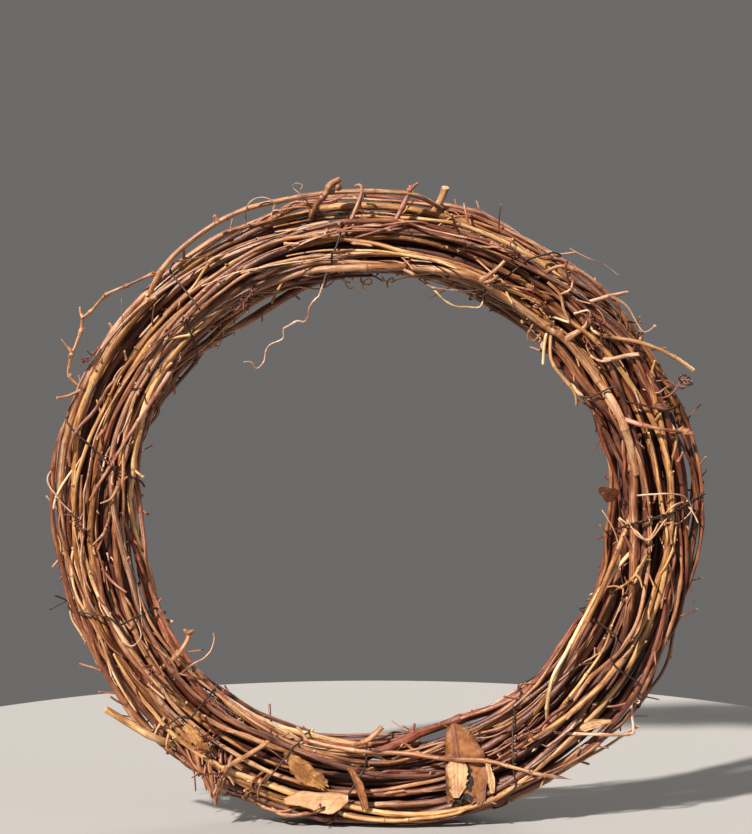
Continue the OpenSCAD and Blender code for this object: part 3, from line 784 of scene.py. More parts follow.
# ---------------------------------------------------------------- loose canes, twigs and stalks
def build_twig(
    name, points, d0, d1, slot, nodes=(9, 18), size=0.3, shoots=(), kink=0.25, tone=0.55, thorns=0,
    taper_end=False,
):
    """A loose cane, twig, stalk or tendril through its points, from thickness d0 to d1.

    nodes: the least and greatest gap between nodes.
    size: how much they swell.
    shoots: for each, its place along the points, the steps from there, and its thickness.
    kink: how far it bends at its nodes.
    thorns: the length of the stubs at its nodes.
    """
    rng = rng_of(name)
    rough = smooth(points, 14) + CENTRE
    n = len(rough) - 1
    rads = (d0 + (d1 - d0) * np.arange(n + 1) / n) / 2
    line, rads = even(rough, max(0.55, 0.35 * d0), rads)
    s = lengths(line)
    at_s = place_nodes(rng, s[-1], *nodes)
    bump, near = swell(s, at_s, size, 0.55 * d0 + 0.5)
    line = line + kinks(rng, s, at_s, kink)
    if taper_end:
        rads = rads * np.clip((s[-1] - s) / 12, 0.15, 1)
    shade = tone + 0.12 * slow_noise(rng, s, 20)
    solid = Solid()
    rads = rads * (1 + bump + 0.05 * slow_noise(rng, s, 8))
    tube(solid, line, rads, 10, rng, shade, ridge=0.06, node=near * 0.8)
    for point, ways, width in shoots:
        i = int(np.argmin(((line - rough[int(round(14 * point))]) ** 2).sum(1)))
        path = even(smooth([line[i]] + [line[i] + np.array(w, float) for w in ways], 6), 0.5)[0]
        t = np.linspace(0, 1, len(path))
        rads_shoot = width / 2 * (1.15 - 0.5 * t) * (1 + 0.4 * np.exp(-((t * 4) ** 2)))
        tube(solid, path, rads_shoot, 8, rng, tone, ridge=0.07, cut=(0, 1))
    for at_thorn in at_s[: len(at_s) if thorns else 0]:
        i = int(np.argmin(abs(s - at_thorn)))
        way = rng.normal(size=3) + [0, -0.4, 0.3]
        stub(solid, line[i], way, thorns * rng.uniform(0.6, 1.3), 0.55 * d0, rng, tone, taper=0.5, sides=7)
    return finish_piece(f"{name}_bark", solid, BARK[slot], name, slot)


LEAF_TOP, LEAF_FOOT = on(37, -104, 0.5), on(41.5, -139.5, 1)


def on_leaf(x, z, off):
    """A point just in front of the large leaf."""
    f = (z - LEAF_TOP[2]) / (LEAF_FOOT[2] - LEAF_TOP[2])
    return (x, LEAF_TOP[1] + f * (LEAF_FOOT[1] - LEAF_TOP[1]) - 1.2 * math.sin(math.pi * f) - off, z)


def over_leaf(x, z, off):
    """A point in front of both the large leaf and the bundle."""
    return min(on_leaf(x, z, off), on(x, z, off + 1.6), key=lambda p: p[1])


# name, points, first and last thickness, slot, and what build_twig is told besides
TWIGS = [
    ("outer_arch_cane", [
        on(-108, 90, -6), (-95, -13, 111), (-78, -13, 126), (-60, -12, 135.5), (-35, -12, 140.5),
        (-18, -12, 143.3), (0, -11, 144.3), (18, -10, 142.5), on(31, 136, -4),
    ], 2.6, 2.1, "bark_tan", dict(nodes=(28, 40), size=0.22, kink=0.5, shoots=[
        (2.35, [(-0.8, -0.6, 2), (-1.4, -1, 3.2)], 2.8),
    ])),
    ("chord_cane_1", [
        on(122, 2, -6), (113, -11, -18), (106, -12, -37), (99, -12, -54), (89, -11, -74), (80, -11, -89),
        on(72, -105, -6),
    ], 2.7, 2.2, "bark_golden", dict(nodes=(26, 40), size=0.2, kink=0.4, tone=0.4)),
    ("chord_cane_2", [
        on(120, -20, -6), (108, -8, -36), (98, -8, -53), (89, -12, -69), (82, -15, -82), on(80, -103, -5),
    ], 2.1, 1.7, "bark_golden", dict(nodes=(26, 40), size=0.2, kink=0.4, tone=0.95)),
    ("bottom_cane", [
        on(-30, -114, -4), on(-8, -117, 2), on(14, -118, 2.5), over_leaf(29, -118.5, 1.8),
        over_leaf(37, -119, 2), over_leaf(45, -119.3, 2), over_leaf(55, -120, 1.8), on(76, -125, 2),
        on(92, -131, 1),
    ], 2.3, 1.7, "bark_brown", dict(nodes=(28, 44), size=0.2, kink=0.3, taper_end=True, tone=0.7)),
    ("forked_cane", [
        on(-58, 98, -5), on(-34, 107, 0.5), on(-10, 110, 1.8), on(16, 110, 1.8), on(36, 107.5, 1.8),
        on(48.5, 103.5, 1.8), on(58, 97, 1.4), on(75, 85, 1.4), on(88, 76, 1.6), on(103, 57, 1.2),
        on(111.5, 44, 1.2), on(117, 30, 0.6), on(121, 14, -5),
    ], 3, 4, "bark_tan", dict(nodes=(26, 40), size=0.2, kink=0.3, tone=0.6, shoots=[
        (5, [(3.5, -2.5, 2.5), (8, -4, 6.3), (10.5, -4.5, 9)], 2.4),
        (5, [(4, -2.5, -0.2), (7.5, -4, 2.4)], 1.8),
        (8, [(4.3, -2, 3.2), (8, -3, 5.7), (9.8, -3.5, 8.5), (9.9, -4, 11.4)], 2.6),
        (8, [(-2, -2.2, 2.5), (-2.4, -3, 5)], 2),
    ])),
    ("angular_twig", [
        on(-95, 108, -5), (-103.5, -12, 106), (-117.5, -10, 99.5), (-124.5, -9, 95.5), (-130, -8, 90.5),
        (-134.8, -7, 86.3), (-136, -7, 81), (-137.8, -8, 73.5), (-140, -9, 66), (-140.8, -9, 58.5),
        on(-133, 51, -5),
    ], 1.4, 1.35, "bark_tan", dict(nodes=(9, 14), size=0.7, kink=0.4, thorns=1.8, shoots=[
        (5, [(-1.2, 0.5, 2), (-1.6, 1, 5)], 1.5),
        (7.5, [(-2.2, 0, 2.5), (-5.2, 0.5, 6)], 1.2),
    ])),
    ("curved_stub", [
        on(96.5, 86, -6), on(101, 80, 0.6), on(109.4, 77.8, 1.5), (122.3, -18, 75.2), (136.2, -16, 69.2),
        (146.3, -14, 62.3),
    ], 1.3, 2.1, "bark_golden", dict(nodes=(24, 36), size=0.12, kink=0.15, tone=0.75)),
    ("arc_twig", [
        on(74, 104, -6), (85, -15, 110.5), (98, -13, 105), (111, -12, 93), on(120, 74, -5),
    ], 1.7, 1.3, "bark_tan", dict(nodes=(10, 16), size=0.4)),
    ("upper_right_twig", [
        on(96, 93, -6), (103, -13, 95), (108, -13, 96.3), (116.3, -11, 98),
    ], 1.8, 1.7, "bark_grey", dict(tone=0.8, shoots=[
        (2, [(7.5, -0.5, -4.6), (12, -1, -12), (15.7, -1, -16.6), (20.5, -1.2, -13.8)], 1.0),
    ])),
    ("pointed_twig", [
        on(107, 43, -6), on(118, 39, 2), on(131, 36, 2.5), (147, -13, 33.5),
    ], 3.2, 0.7, "bark_red", dict(nodes=(14, 22), tone=0.75)),
    ("top_twig_1", [
        on(-31, 130, -6), (-26.5, -13, 138.5), (-23, -13.5, 142.5), (-20.4, -13, 147.5), (-16, -12, 149.6),
    ], 2.3, 3.0, "bark_tan", dict(nodes=(5, 8), size=0.4, thorns=1.6)),
    ("top_twig_2", [
        on(-14, 124, -6), (-6, -12, 142), (-6, -11, 147), (-9, -10, 146.5),
    ], 2, 1.2, "bark_brown", {}),
    ("top_twig_3", [
        on(6, 124, -6), (14, -11, 140.5), (16, -10, 147),
    ], 2.4, 2, "bark_red", dict(shoots=[(1.4, [(1.5, -1, 1.6), (4.2, -2, 3.6)], 1.9)])),
    ("top_twig_4", [
        on(27, 134, -7), (30.5, 0, 140.5), (32.2, -1, 146),
    ], 3.2, 3.6, "bark_tan", dict(size=0.2, tone=0.8)),
    ("fat_cut_cane", [
        on(-90, -115, -6), on(-98, -111.5, 0.3), (-106, -15, -107), (-116, -13, -101.2),
        (-125.3, -12, -95.6),
    ], 3.4, 3.3, "bark_golden", dict(nodes=(22, 30), size=0.12, kink=0.2, tone=0.65)),
    ("bottom_prong", [
        on(-46, -110.5, -5), on(-55, -115, 1), on(-62, -118.5, 1.5), on(-68.8, -122, 1.6),
        on(-71.3, -127, 2), (-72, -14, -136),
    ], 2.4, 1.7, "bark_tan", dict(nodes=(6, 10), thorns=2.6, shoots=[
        (2.8, [(-2, -0.5, -3), (-4.5, -1, -8), (-7, -0.5, -13)], 1.9),
        (3.6, [(3, -0.6, -2.5), (5, -0.6, -6)], 1.4),
    ])),
    ("inner_left_stub", [
        on(-101, -78, -7), on(-94, -72.5, 0.5), (-89.5, -12, -67.5), (-86.9, -10, -63), (-87, -9, -60.5),
    ], 2.4, 2.3, "bark_tan", dict(size=0.3, shoots=[
        (4, [(-1, -0.5, 0.9), (-1.6, -0.6, 2)], 2.2),
        (4, [(1.4, -0.3, 0.5), (2.2, -0.3, 1.2), (2.4, -0.3, -0.2)], 2.1),
    ])),
    ("inner_left_twig", [
        on(-117, -4, -6), on(-113, -17, 1.3), on(-109, -26, 1.5), on(-107, -34, 2),
    ], 2.2, 1.2, "bark_red", dict(shoots=[(0.9, [(1.5, -1, -1), (3.4, -2, -2.6)], 1.4)])),
    ("inner_right_stub", [
        on(82, 86, -6), (78.5, -11, 77), (77.5, -10, 65),
    ], 1.5, 1.5, "bark_golden", dict(size=0.2, tone=0.95)),
    ("inner_right_twig", [
        on(83, 88, -6), (81, -15, 68), (91, -15, 53), (92.5, -14, 46),
    ], 1.8, 1.1, "bark_golden", {}),
    ("bracket_twig", [
        on(84, -107, -5), on(95.5, -106.6, 1.4), on(108, -106.9, 2), (118.6, -15, -106.8),
        (120.3, -15, -105.4), (119.6, -14.5, -99), (119, -14, -92),
    ], 1.5, 1.2, "bark_grey", dict(nodes=(8, 14), kink=0.15, tone=0.9, thorns=1.4)),
    ("inner_bottom_stub", [
        on(-10, -116, -5), (-3.5, -12, -110.5), (3.5, -11, -104.5),
    ], 2.2, 2.5, "bark_tan", {}),
    ("diagonal_twig", [
        on(-90, 68, -6), on(-97, 57, 1.4), on(-106, 43, 1.6), on(-117, 26, 1.6), on(-131.5, 2, 2),
    ], 2.1, 1.4, "bark_red", dict(nodes=(14, 24), tone=0.75)),
    ("left_stalk", [
        on(-114, 18, -5), on(-120, 5, 1.2), on(-123, -7, 1.4), on(-128, -21, 2),
    ], 1.6, 1, "bark_tan", dict(nodes=(4, 7), size=0.5, thorns=2.6, shoots=[
        (1, [(-2, -1, -2), (-6, -2, -3.5)], 1),
        (1.7, [(2, -1, -2.5), (5, -1, -6)], 1),
        (2.4, [(-2, -1, -2), (-5, -1, -5)], 1),
    ])),
    ("right_stalk", [
        on(128, -18, -5), on(120, -31, 1.4), on(112, -41, 2.4),
    ], 1.5, 1, "bark_golden", dict(nodes=(4, 7), size=0.5, thorns=2.6, shoots=[
        (1, [(2, -1, -2), (3, -1.5, -6)], 1),
        (1.7, [(-2.5, -0.5, 1), (-6, -1, 0.5)], 1),
    ])),
    ("hanging_tendril", [
        on(-20, 116, -6), (-25, -14, 98), (-27, -14.5, 95), (-30, -14, 91), (-30.5, -13.2, 87.5),
        (-32.5, -12.5, 84.6), (-36, -12.4, 85), (-40, -12, 82.6), (-42, -11.5, 81), (-42.5, -11, 76.6),
        (-48, -11.2, 74), (-50, -11.6, 71), (-51, -12, 66), (-54.5, -12.6, 63), (-57, -13.5, 66),
        (-60.5, -14, 66),
    ], 0.95, 0.65, "bark_grey", dict(nodes=(5, 9), size=0.35, kink=0.12, tone=0.8)),
    ("inner_left_tendril", [
        on(-94, -83, -5), (-85, -12, -75), (-79.5, -11, -72.2), (-76, -11, -68), (-74.7, -11, -62.8),
        (-75.2, -11, -60.4),
    ], 1.1, 0.7, "bark_grey", dict(kink=0.1)),
    ("inner_right_tendril", [
        on(80, 96, -6), (71, -11, 79), (73.5, -10, 75.5), (76.5, -11, 79),
    ], 1.2, 0.8, "bark_golden", {}),
    ("top_inner_loop", [
        on(22, 104, -4), (28, -13, 98.3), (32, -13, 94.5), (37, -13, 92), (42, -12.5, 91.8),
        (47.5, -12, 91.5), (49.5, -12, 94), on(50, 101, -4),
    ], 0.85, 0.65, "bark_golden", dict(tone=0.95, kink=0.15)),
]
for name, points, d0, d1, slot, more in TWIGS:
    build_twig(name, points, d0, d1, slot, **more)


# ---------------------------------------------------------------- tendrils
def coil(foot, way, side, r, turns):
    """A coil of a few turns that gets tighter."""
    w = unit(way)
    s = np.asarray(side, float) - (np.asarray(side, float) @ w) * w
    s = unit(s)
    up = np.cross(w, s)
    t = np.linspace(0, 1, int(26 * turns))[:, None]
    a, q = 2 * math.pi * turns * t, r * (1 - 0.55 * t)
    line = np.asarray(foot) + w * (q * np.sin(a) + 2.2 * r * t)
    return line + s * (r - q * np.cos(a)) + up * (0.9 * r * t)


def add_curl(solid, foot, way, side, r, turns, d, rng, tone):
    """A thin coiled tendril of thickness d."""
    line = coil(foot, way, side, r, turns)
    line = even(line + 0.12 * r * wander(rng, lengths(line), 3), 0.5)[0]
    rads = d / 2 * np.linspace(1.1, 0.7, len(line))
    tube(solid, line, rads, 6, rng, tone, ridge=0.06)


# name, slot, tone, coils as (foot, way, side, radius, turns, thickness), and the stems they hang on
CURLS = [
    ("top_inner_curl", "bark_golden", 0.9, [
        (on(-16, 105, -3), (0.3, -0.1, -1), (1, 0, 0), 2.9, 1.5, 1.0),
        (on(-6.5, 105, -3), (-0.1, -0.1, -1), (1, 0, 0), 3.0, 1.5, 1.0),
        (on(3.5, 105, -3), (0.2, -0.1, -1), (1, 0, 0), 2.6, 1.1, 1.1),
    ], []),
    ("right_tendril", "bark_grey", 0.15, [
        ((140, -12, 56.5), (1, -0.1, -0.2), (0, 0, 1), 2.2, 2.3, 1.1),
        ((141, -13, 54), (0.7, -0.3, 0.2), (0, 0.3, 1), 2.0, 2.6, 1.1),
        ((141, -11, 57), (1, 0.1, -0.6), (0, -0.4, 1), 2.0, 1.6, 1.0),
    ], [
        [on(127, 49, -5), (134, -13, 50), (138, -13, 53), (140, -12, 56.5), (141, -11, 57.5)],
        [on(129, 57, -4), (134.5, -12, 57.5), (138, -12.5, 55), (141, -13, 54)],
    ]),
    ("top_left_curl", "bark_grey", 0.9, [
        (on(-48, 132, -5), (-0.1, -0.2, 1), (1, 0, 0), 2.6, 1.5, 0.8),
    ], []),
]
for name, slot, tone, coils, stems in CURLS:
    rng = rng_of(name)
    solid = Solid()
    for foot, way, side, r, turns, d in coils:
        add_curl(solid, CENTRE + foot, way, side, r, turns, d, rng, tone)
    for stem in stems:
        path = even(smooth(stem, 8) + CENTRE, 0.6)[0]
        tube(solid, path, np.full(len(path), 0.45), 6, rng, tone, ridge=0.06)
    finish_piece(f"{name}_coil", solid, BARK[slot], name, slot)


# ---------------------------------------------------------------- small growth all over the bundle
def scattered(rng, count, low, high):
    """Places round the ring, one in each of its equal parts, at a turn round the bundle from low to high."""
    for k in range(count):
        yield 360 * (k + rng.uniform(0, 0.9)) / count, rng.uniform(low, high)


def blob(solid, centre, r, rng, tone):
    """A small bud or knob."""
    way = unit(rng.normal(size=3))
    t = np.linspace(-1, 1, 6)[:, None]
    rads = r * np.sqrt(1.05 - t[:, 0] ** 2)
    tube(solid, centre + 1.2 * r * t * way, rads, 6, rng, tone, ridge=0.1, cut=(0, 0), slant=0)


def resting_line(rng, phi, turn, run, climb, r, sink, lift):
    """A line that lies on the bundle, with each end pushed in or lifted off."""
    length = abs(math.radians(run)) * RING_R
    t = np.linspace(0, 1, max(5, int(length / 5)))
    turns = turn + climb * t + 7 * slow_noise(rng, t * length, 22)
    beds = [bed_at(phi + run * f, a, r) for f, a in zip(t, turns)]
    points = np.array([b[0] for b in beds])
    outs = np.array([b[1] for b in beds])
    points[1:-1] = (points[:-2] + 2 * points[1:-1] + points[2:]) / 4
    off = 0.4 - sink[0] * np.clip(1 - t * length / 7, 0, 1)
    off = off - sink[1] * np.clip(1 - (1 - t) * length / 7, 0, 1)
    off = off + lift * np.clip((t - 0.6) / 0.4, 0, 1) ** 2
    return smooth(points + off[:, None] * outs, 5)


def short_stems(name, slot, seed, count, share=1.0):
    """Short thin stems that cross the canes, some with an end that stands off."""
    rng = np.random.RandomState(seed)
    solid = Solid()
    for phi, turn in scattered(rng, count, -15, 195):
        run, climb = rng.choice([-1, 1]) * rng.uniform(11, 34), rng.choice([-1, 1]) * rng.uniform(8, 48)
        d, loose = share * rng.uniform(0.9, 2.0), rng.rand() < 0.4
        lift = rng.uniform(2, 8) if loose else 0
        line = resting_line(rng, phi, turn, run, climb, d / 2, (4, 0 if loose else 4), lift)
        line = even(line, 0.9)[0]
        s = lengths(line)
        nodes = place_nodes(rng, s[-1], 9, 22)
        bump, near = swell(s, nodes, 0.3, 1.2)
        line = line + kinks(rng, s, nodes, 0.45)
        line[:, 2] = np.maximum(line[:, 2], d)
        rads = d / 2 * (1.05 - 0.35 * s / s[-1]) * (1 + bump)
        tone = tone_with_painted_light(line, rng, s, rng.uniform(-0.1, 0.3))
        tube(solid, line, rads, 7, rng, tone, ridge=0.07, node=near)
    finish_piece(name, solid, BARK[slot])


def side_shoots(name, slot, seed, count):
    """Short shoots that stick out between the canes."""
    rng = np.random.RandomState(seed)
    solid = Solid()
    for phi, turn in scattered(rng, count, -25, 205):
        foot, out, ahead = bed_at(phi, turn, 0.5, -1.8)
        if foot[2] < SHOOT_LOW:
            continue
        way = out + rng.choice([-1, 1]) * rng.uniform(0.6, 2.2) * ahead
        way = way + rng.normal(0, 0.4) * np.cross(out, ahead)
        d = rng.uniform(0.8, 1.9)
        length = rng.choice(SHOOT_LENGTHS, p=SHOOT_ODDS) * rng.uniform(0.8, 1.2)
        tone, bend, taper = rng.uniform(0.4, 0.85), rng.uniform(-0.35, 0.35), rng.uniform(0.5, 0.9)
        stub(solid, foot, way, length, d, rng, tone, bend, sides=7, taper=taper)
    finish_piece(name, solid, BARK[slot])


def curls():
    """Dry tendrils curled over the canes."""
    rng = np.random.RandomState(CURL_DRAW)
    solid = Solid()
    for phi, turn in scattered(rng, 26, -10, 190):
        foot, out, ahead = bed_at(phi, turn, 0.4, -0.6)
        if foot[2] < CURL_LOW:
            continue
        lean = rng.normal(0, 0.8)
        r, turns, d, tone = rng.uniform([1.2, 0.8, 0.5, 0.45], [2.6, 2.2, 0.9, 0.95])
        add_curl(solid, foot, out + lean * ahead, ahead, r, turns, d, rng, tone)
    finish_piece("fine_tendrils", solid, BARK["bark_grey"])


def strip(solid, line, outs, wide, thick, rng, tone):
    """A thin band of peeled bark."""
    n = len(line)
    s = lengths(line)
    along = np.gradient(line, axis=0)
    side = np.cross(along, outs)
    side /= np.linalg.norm(side, axis=1)[:, None]
    curl = (0.5 * rng.uniform(-1, 1) * s / 6)[:, None]
    side = np.cos(curl) * side + np.sin(curl) * outs
    up = np.cross(side, along / np.linalg.norm(along, axis=1)[:, None])
    half = wide / 2 * np.clip(np.minimum(s, s[-1] - s) / 2.5 + 0.25, 0, 1)
    half = (half * (1 + 0.3 * slow_noise(rng, s, 4)))[:, None]
    corners = [line + half * side, line + thick * up, line - half * side, line - thick * up]
    points = np.stack(corners, 1).reshape(-1, 3)
    ids = np.arange(n * 4).reshape(n, 4)
    faces = skin(ids) + [tuple(ids[0][::-1]), tuple(ids[-1])]
    across = np.tile([wide, 0.0, -wide, 0.0], (n, 1))
    grain = np.stack([across, np.zeros((n, 4)), np.repeat(s[:, None], 4, 1)], -1)
    mark = np.zeros((n * 4, 3))
    mark[:, 2] = tone
    solid.add(points, [f[::-1] for f in faces], grain.reshape(-1, 3) + rng.uniform(-200, 200, 3), mark)


def shreds(name, slot, seed, count):
    """Loose bark that has split from the canes, with ends that lift."""
    rng = np.random.RandomState(seed)
    solid = Solid()
    for phi, turn in scattered(rng, count, -10, 190):
        run, climb = rng.choice([-1, 1]) * rng.uniform(4, 14), rng.uniform(-8, 8)
        t = np.linspace(0, 1, max(6, int(abs(run) * 1.1)))
        beds = [bed_at(phi + run * f, turn + climb * f, 0.25) for f in t]
        if min(b[0][2] for b in beds) < SHRED_LOW:
            continue
        off = 0.15 + rng.uniform(0, 2.4) * np.clip((t - 0.65) / 0.35, 0, 1) ** 2
        off = off + rng.uniform(0, 1.2) * np.clip((0.3 - t) / 0.3, 0, 1) ** 2
        outs = np.array([b[1] for b in beds])
        line = smooth(np.array([b[0] for b in beds]) + off[:, None] * outs, 3)
        outs = np.array([outs[min(i // 3, len(outs) - 1)] for i in range(len(line))])
        strip(solid, line, outs, rng.uniform(0.7, 2.0), 0.12, rng, rng.uniform(0.35, 0.95))
    finish_piece(name, solid, BARK[slot])


def flower_stalks():
    """Dried flower stalks: a thin stem with many short knobbed stalks."""
    rng = np.random.RandomState(STALK_DRAW)
    solid = Solid()
    for phi, turn, long in STALKS:
        foot, out, ahead = bed_at(phi, turn, 0.5, -0.5)
        way = unit(0.55 * out + rng.choice([-1, 1]) * ahead + rng.normal(0, 0.3, 3))
        t = np.linspace(0, 1, int(long / 1.1))
        line = foot + way * (long * t)[:, None] + out * (1.2 + 0.15 * long * t**2)[:, None]
        line = line + 0.5 * wander(rng, t * long, 5)
        tube(solid, line, 0.5 * (1.1 - 0.5 * t), 6, rng, 0.35, ridge=0.08)
        for i in range(2, len(line) - 1):
            ray = unit(rng.normal(size=3) + 0.7 * way + 0.5 * out)
            tip = line[i] + ray * rng.uniform(1.8, 4.6)
            path = smooth([line[i], (line[i] + tip) / 2 + rng.normal(0, 0.35, 3), tip], 4)
            tube(solid, path, np.linspace(0.32, 0.22, len(path)), 5, rng, 0.35, ridge=0)
            if rng.rand() < 0.6:
                blob(solid, tip, rng.uniform(0.4, 0.75), rng, rng.uniform(0.15, 0.5))
    finish_piece("flower_stalks", solid, BARK["bark_red"])


short_stems("short_stems_1", "bark_brown", 11, 18)
short_stems("short_stems_2", "bark_red", 12, 18)
short_stems("short_stems_3", "bark_golden", 13, 16)
short_stems("short_stems_4", "bark_tan", 14, 34, 0.5)
side_shoots("side_shoots_1", "bark_tan", 21, 44)
side_shoots("side_shoots_2", "bark_red", 22, 36)
curls()
shreds("bark_shreds_1", "bark_tan", 51, 34)
shreds("bark_shreds_2", "bark_grey", 52, 34)
flower_stalks()

# name, slot, tone, strands as (points, first thickness, last thickness), and knobs as (place, radius, tone)
LOOSE = [
    ("thin_strands", "bark_grey", 0.8, [
        ([on(124, 53, -5), (130, -14, 52), (134, -13, 54.5), (137, -12, 56)], 0.8, 0.7),
        ([on(90, 118, -5), (97, -13, 114), (104, -14, 111.5), (111.7, -13, 106)], 0.5, 0.35),
        (
            [on(120, 4, -2), (131, -20, 6), (142, -18, 4.5), (146, -14, -2), (140, -16, -8),
             (131, -20, -7)],
            0.9, 0.6,
        ),
        (
            [on(-60, 128, -4), (-58, -15, 138), (-52, -15, 141.5), (-46, -14, 139), (-47, -14, 134.5)],
            0.8, 0.5,
        ),
        (
            [on(-29, 136, -4), (-33, -12, 142), (-37.5, -12, 146), (-36, -13, 148), (-33, -13, 147),
             (-34, -13, 144.8)],
            0.6, 0.5,
        ),
        ([on(-142, 22, -6), (-151.5, -8, 12.5), (-146, -10, 2), on(-137, -7, -3)], 1.1, 0.8),
        ([on(-112, -52, -4), (-108, -17, -60), (-112, -18, -65), (-117, -18, -63)], 1.0, 0.6),
        (
            [on(20, 104, -3), (26.6, -14, 100.4), (36, -14, 99.3), (46.6, -14, 99.2), on(53, 101, -3)],
            0.7, 0.5,
        ),
    ], [
        ((128.3, -14, 82.6), 0.9, 0.9),
        ((-17, -12, 146), 1.7, 0.4),
        ((119.8, -15, -106.3), 0.95, 0.8),
    ]),
    ("ragged_ends", "bark_brown", 0.6, [
        ([on(-84, -112, -4), (-82, -16, -121.5), (-78.5, -15, -130.5), (-75.5, -14.5, -137.5)], 2.8, 1.1),
        ([on(-78, -110, -4), (-76.5, -17, -124), (-75, -15.5, -133), (-74.2, -15, -140.5)], 3.2, 1.4),
        ([on(-72, -114, -4), (-72.3, -17, -127), (-73.2, -15, -135), (-73.8, -14.5, -140)], 2.5, 0.9),
        ([on(-83, -109, -4), (-80.5, -13, -126), (-78.4, -12.5, -134)], 2.0, 0.7),
        ([on(-90, -106, -4), (-86, -13, -119), (-80, -13.5, -127), (-78, -13, -131)], 1.9, 1.0),
        ([on(-70, -115, -4), (-69.8, -14, -129), (-69, -14, -133.5)], 1.8, 0.8),
        ([on(-88, -104, -4), (-84, -15.5, -118), (-77.5, -16, -128), (-74.5, -15.5, -136)], 2.6, 1.2),
        ([on(-66, -116, -4), (-69, -15.5, -125), (-72.2, -16, -133), (-74.8, -15, -139.5)], 2.2, 0.7),
        ([on(-75, -112, -4), (-79, -16.5, -124), (-77, -16, -132), (-76.5, -15.5, -136.5)], 2.0, 0.8),
        ([on(-48, -126, -3), (-53, -18, -130), (-54.5, -17, -136)], 2.2, 0.8),
        ([on(-51, -125, -3), (-57, -18, -129), (-57, -17, -132.5)], 1.6, 0.7),
        ([on(-98, -100, -4), (-102.5, -14, -108), (-99.5, -13, -113.5)], 2.0, 0.9),
        ([on(-95, -104, -4), (-97, -14, -113), (-93.5, -13, -117)], 1.8, 0.8),
    ], []),
    ("loose_hooks", "bark_tan", 0.8, [
        ([on(97, 74, 0.6), on(99.2, 69.2, 1.8), on(103.8, 67, 2.2), on(109.4, 67.8, 1.2)], 1.0, 1.3),
        ([on(105, 67.6, -0.6), on(109.4, 67.9, 1.6), on(115.5, 69.2, 2.4), (121.2, -15.5, 69.8)], 2.1, 2.0),
        ([on(79, 103, -1), on(84.5, 97.5, 1.0), on(86.2, 91, 1.4), on(88.8, 84.5, 0.2)], 1.5, 1.2),
        ([on(84.6, 97, 0.5), on(89, 99.5, 1.4), on(91, 103, 0.8)], 1.1, 0.9),
        ([on(80, 87, -0.5), on(84, 86, 1.2), on(88.6, 84.6, 1.4)], 1.2, 1.0),
        ([on(91, 88.5, -0.5), on(97, 90, 1.2), on(99, 87, 1.2)], 1.3, 1.0),
        (
            [on(145, 2, -1), on(139.5, 0, 1.8), on(133, -7, 2.2), on(126, -15.5, 2.2), on(120, -11.5, 1.8),
             on(114, -7, 0.2)],
            1.1, 0.8,
        ),
        (
            [on(143, 1, -1), on(137.5, 0.5, 1.2), on(132, -5.5, 2.8), on(126.5, -14.5, 1.4),
             on(121, -13.5, 2.4), on(116, -6.5, -0.4)],
            0.9, 0.7,
        ),
    ], []),
]
for name, slot, tone, strands, knobs in LOOSE:
    rng = rng_of(name)
    solid = Solid()
    for points, d0, d1 in strands:
        line = even(smooth(points, 10) + CENTRE, 0.6)[0]
        s = lengths(line)
        line = line + 0.15 * wander(rng, s, 4)
        tube(solid, line, np.linspace(d0, d1, len(s)) / 2, 6, rng, tone, ridge=0.06)
    for place, r, knob_tone in knobs:
        blob(solid, CENTRE + np.array(place), r, rng, knob_tone)
    finish_piece(name, solid, BARK[slot])


# ---------------------------------------------------------------- leaves
def drape(top, off):
    """Moves a sheet forward wherever the bundle would poke through it."""
    front = np.array([[front_at(p[0], p[2] - RING_Z) for p in row] for row in top[::2, ::2]])
    rows, cols = top.shape[:2]
    front = np.array([np.interp(np.arange(cols), np.arange(0, cols, 2), row) for row in front])
    front = np.array([np.interp(np.arange(rows), np.arange(0, rows, 2), col) for col in front.T]).T
    for _ in range(10):
        wide = np.pad(front, 1, mode="edge")
        around = (wide[:-2, 1:-1] + wide[2:, 1:-1] + wide[1:-1, :-2] + wide[1:-1, 2:]) / 4
        front = np.maximum(around, 0.5 * (front + around))
    top = top.copy()
    top[..., 1] = np.minimum(top[..., 1], -front - off)
    return top


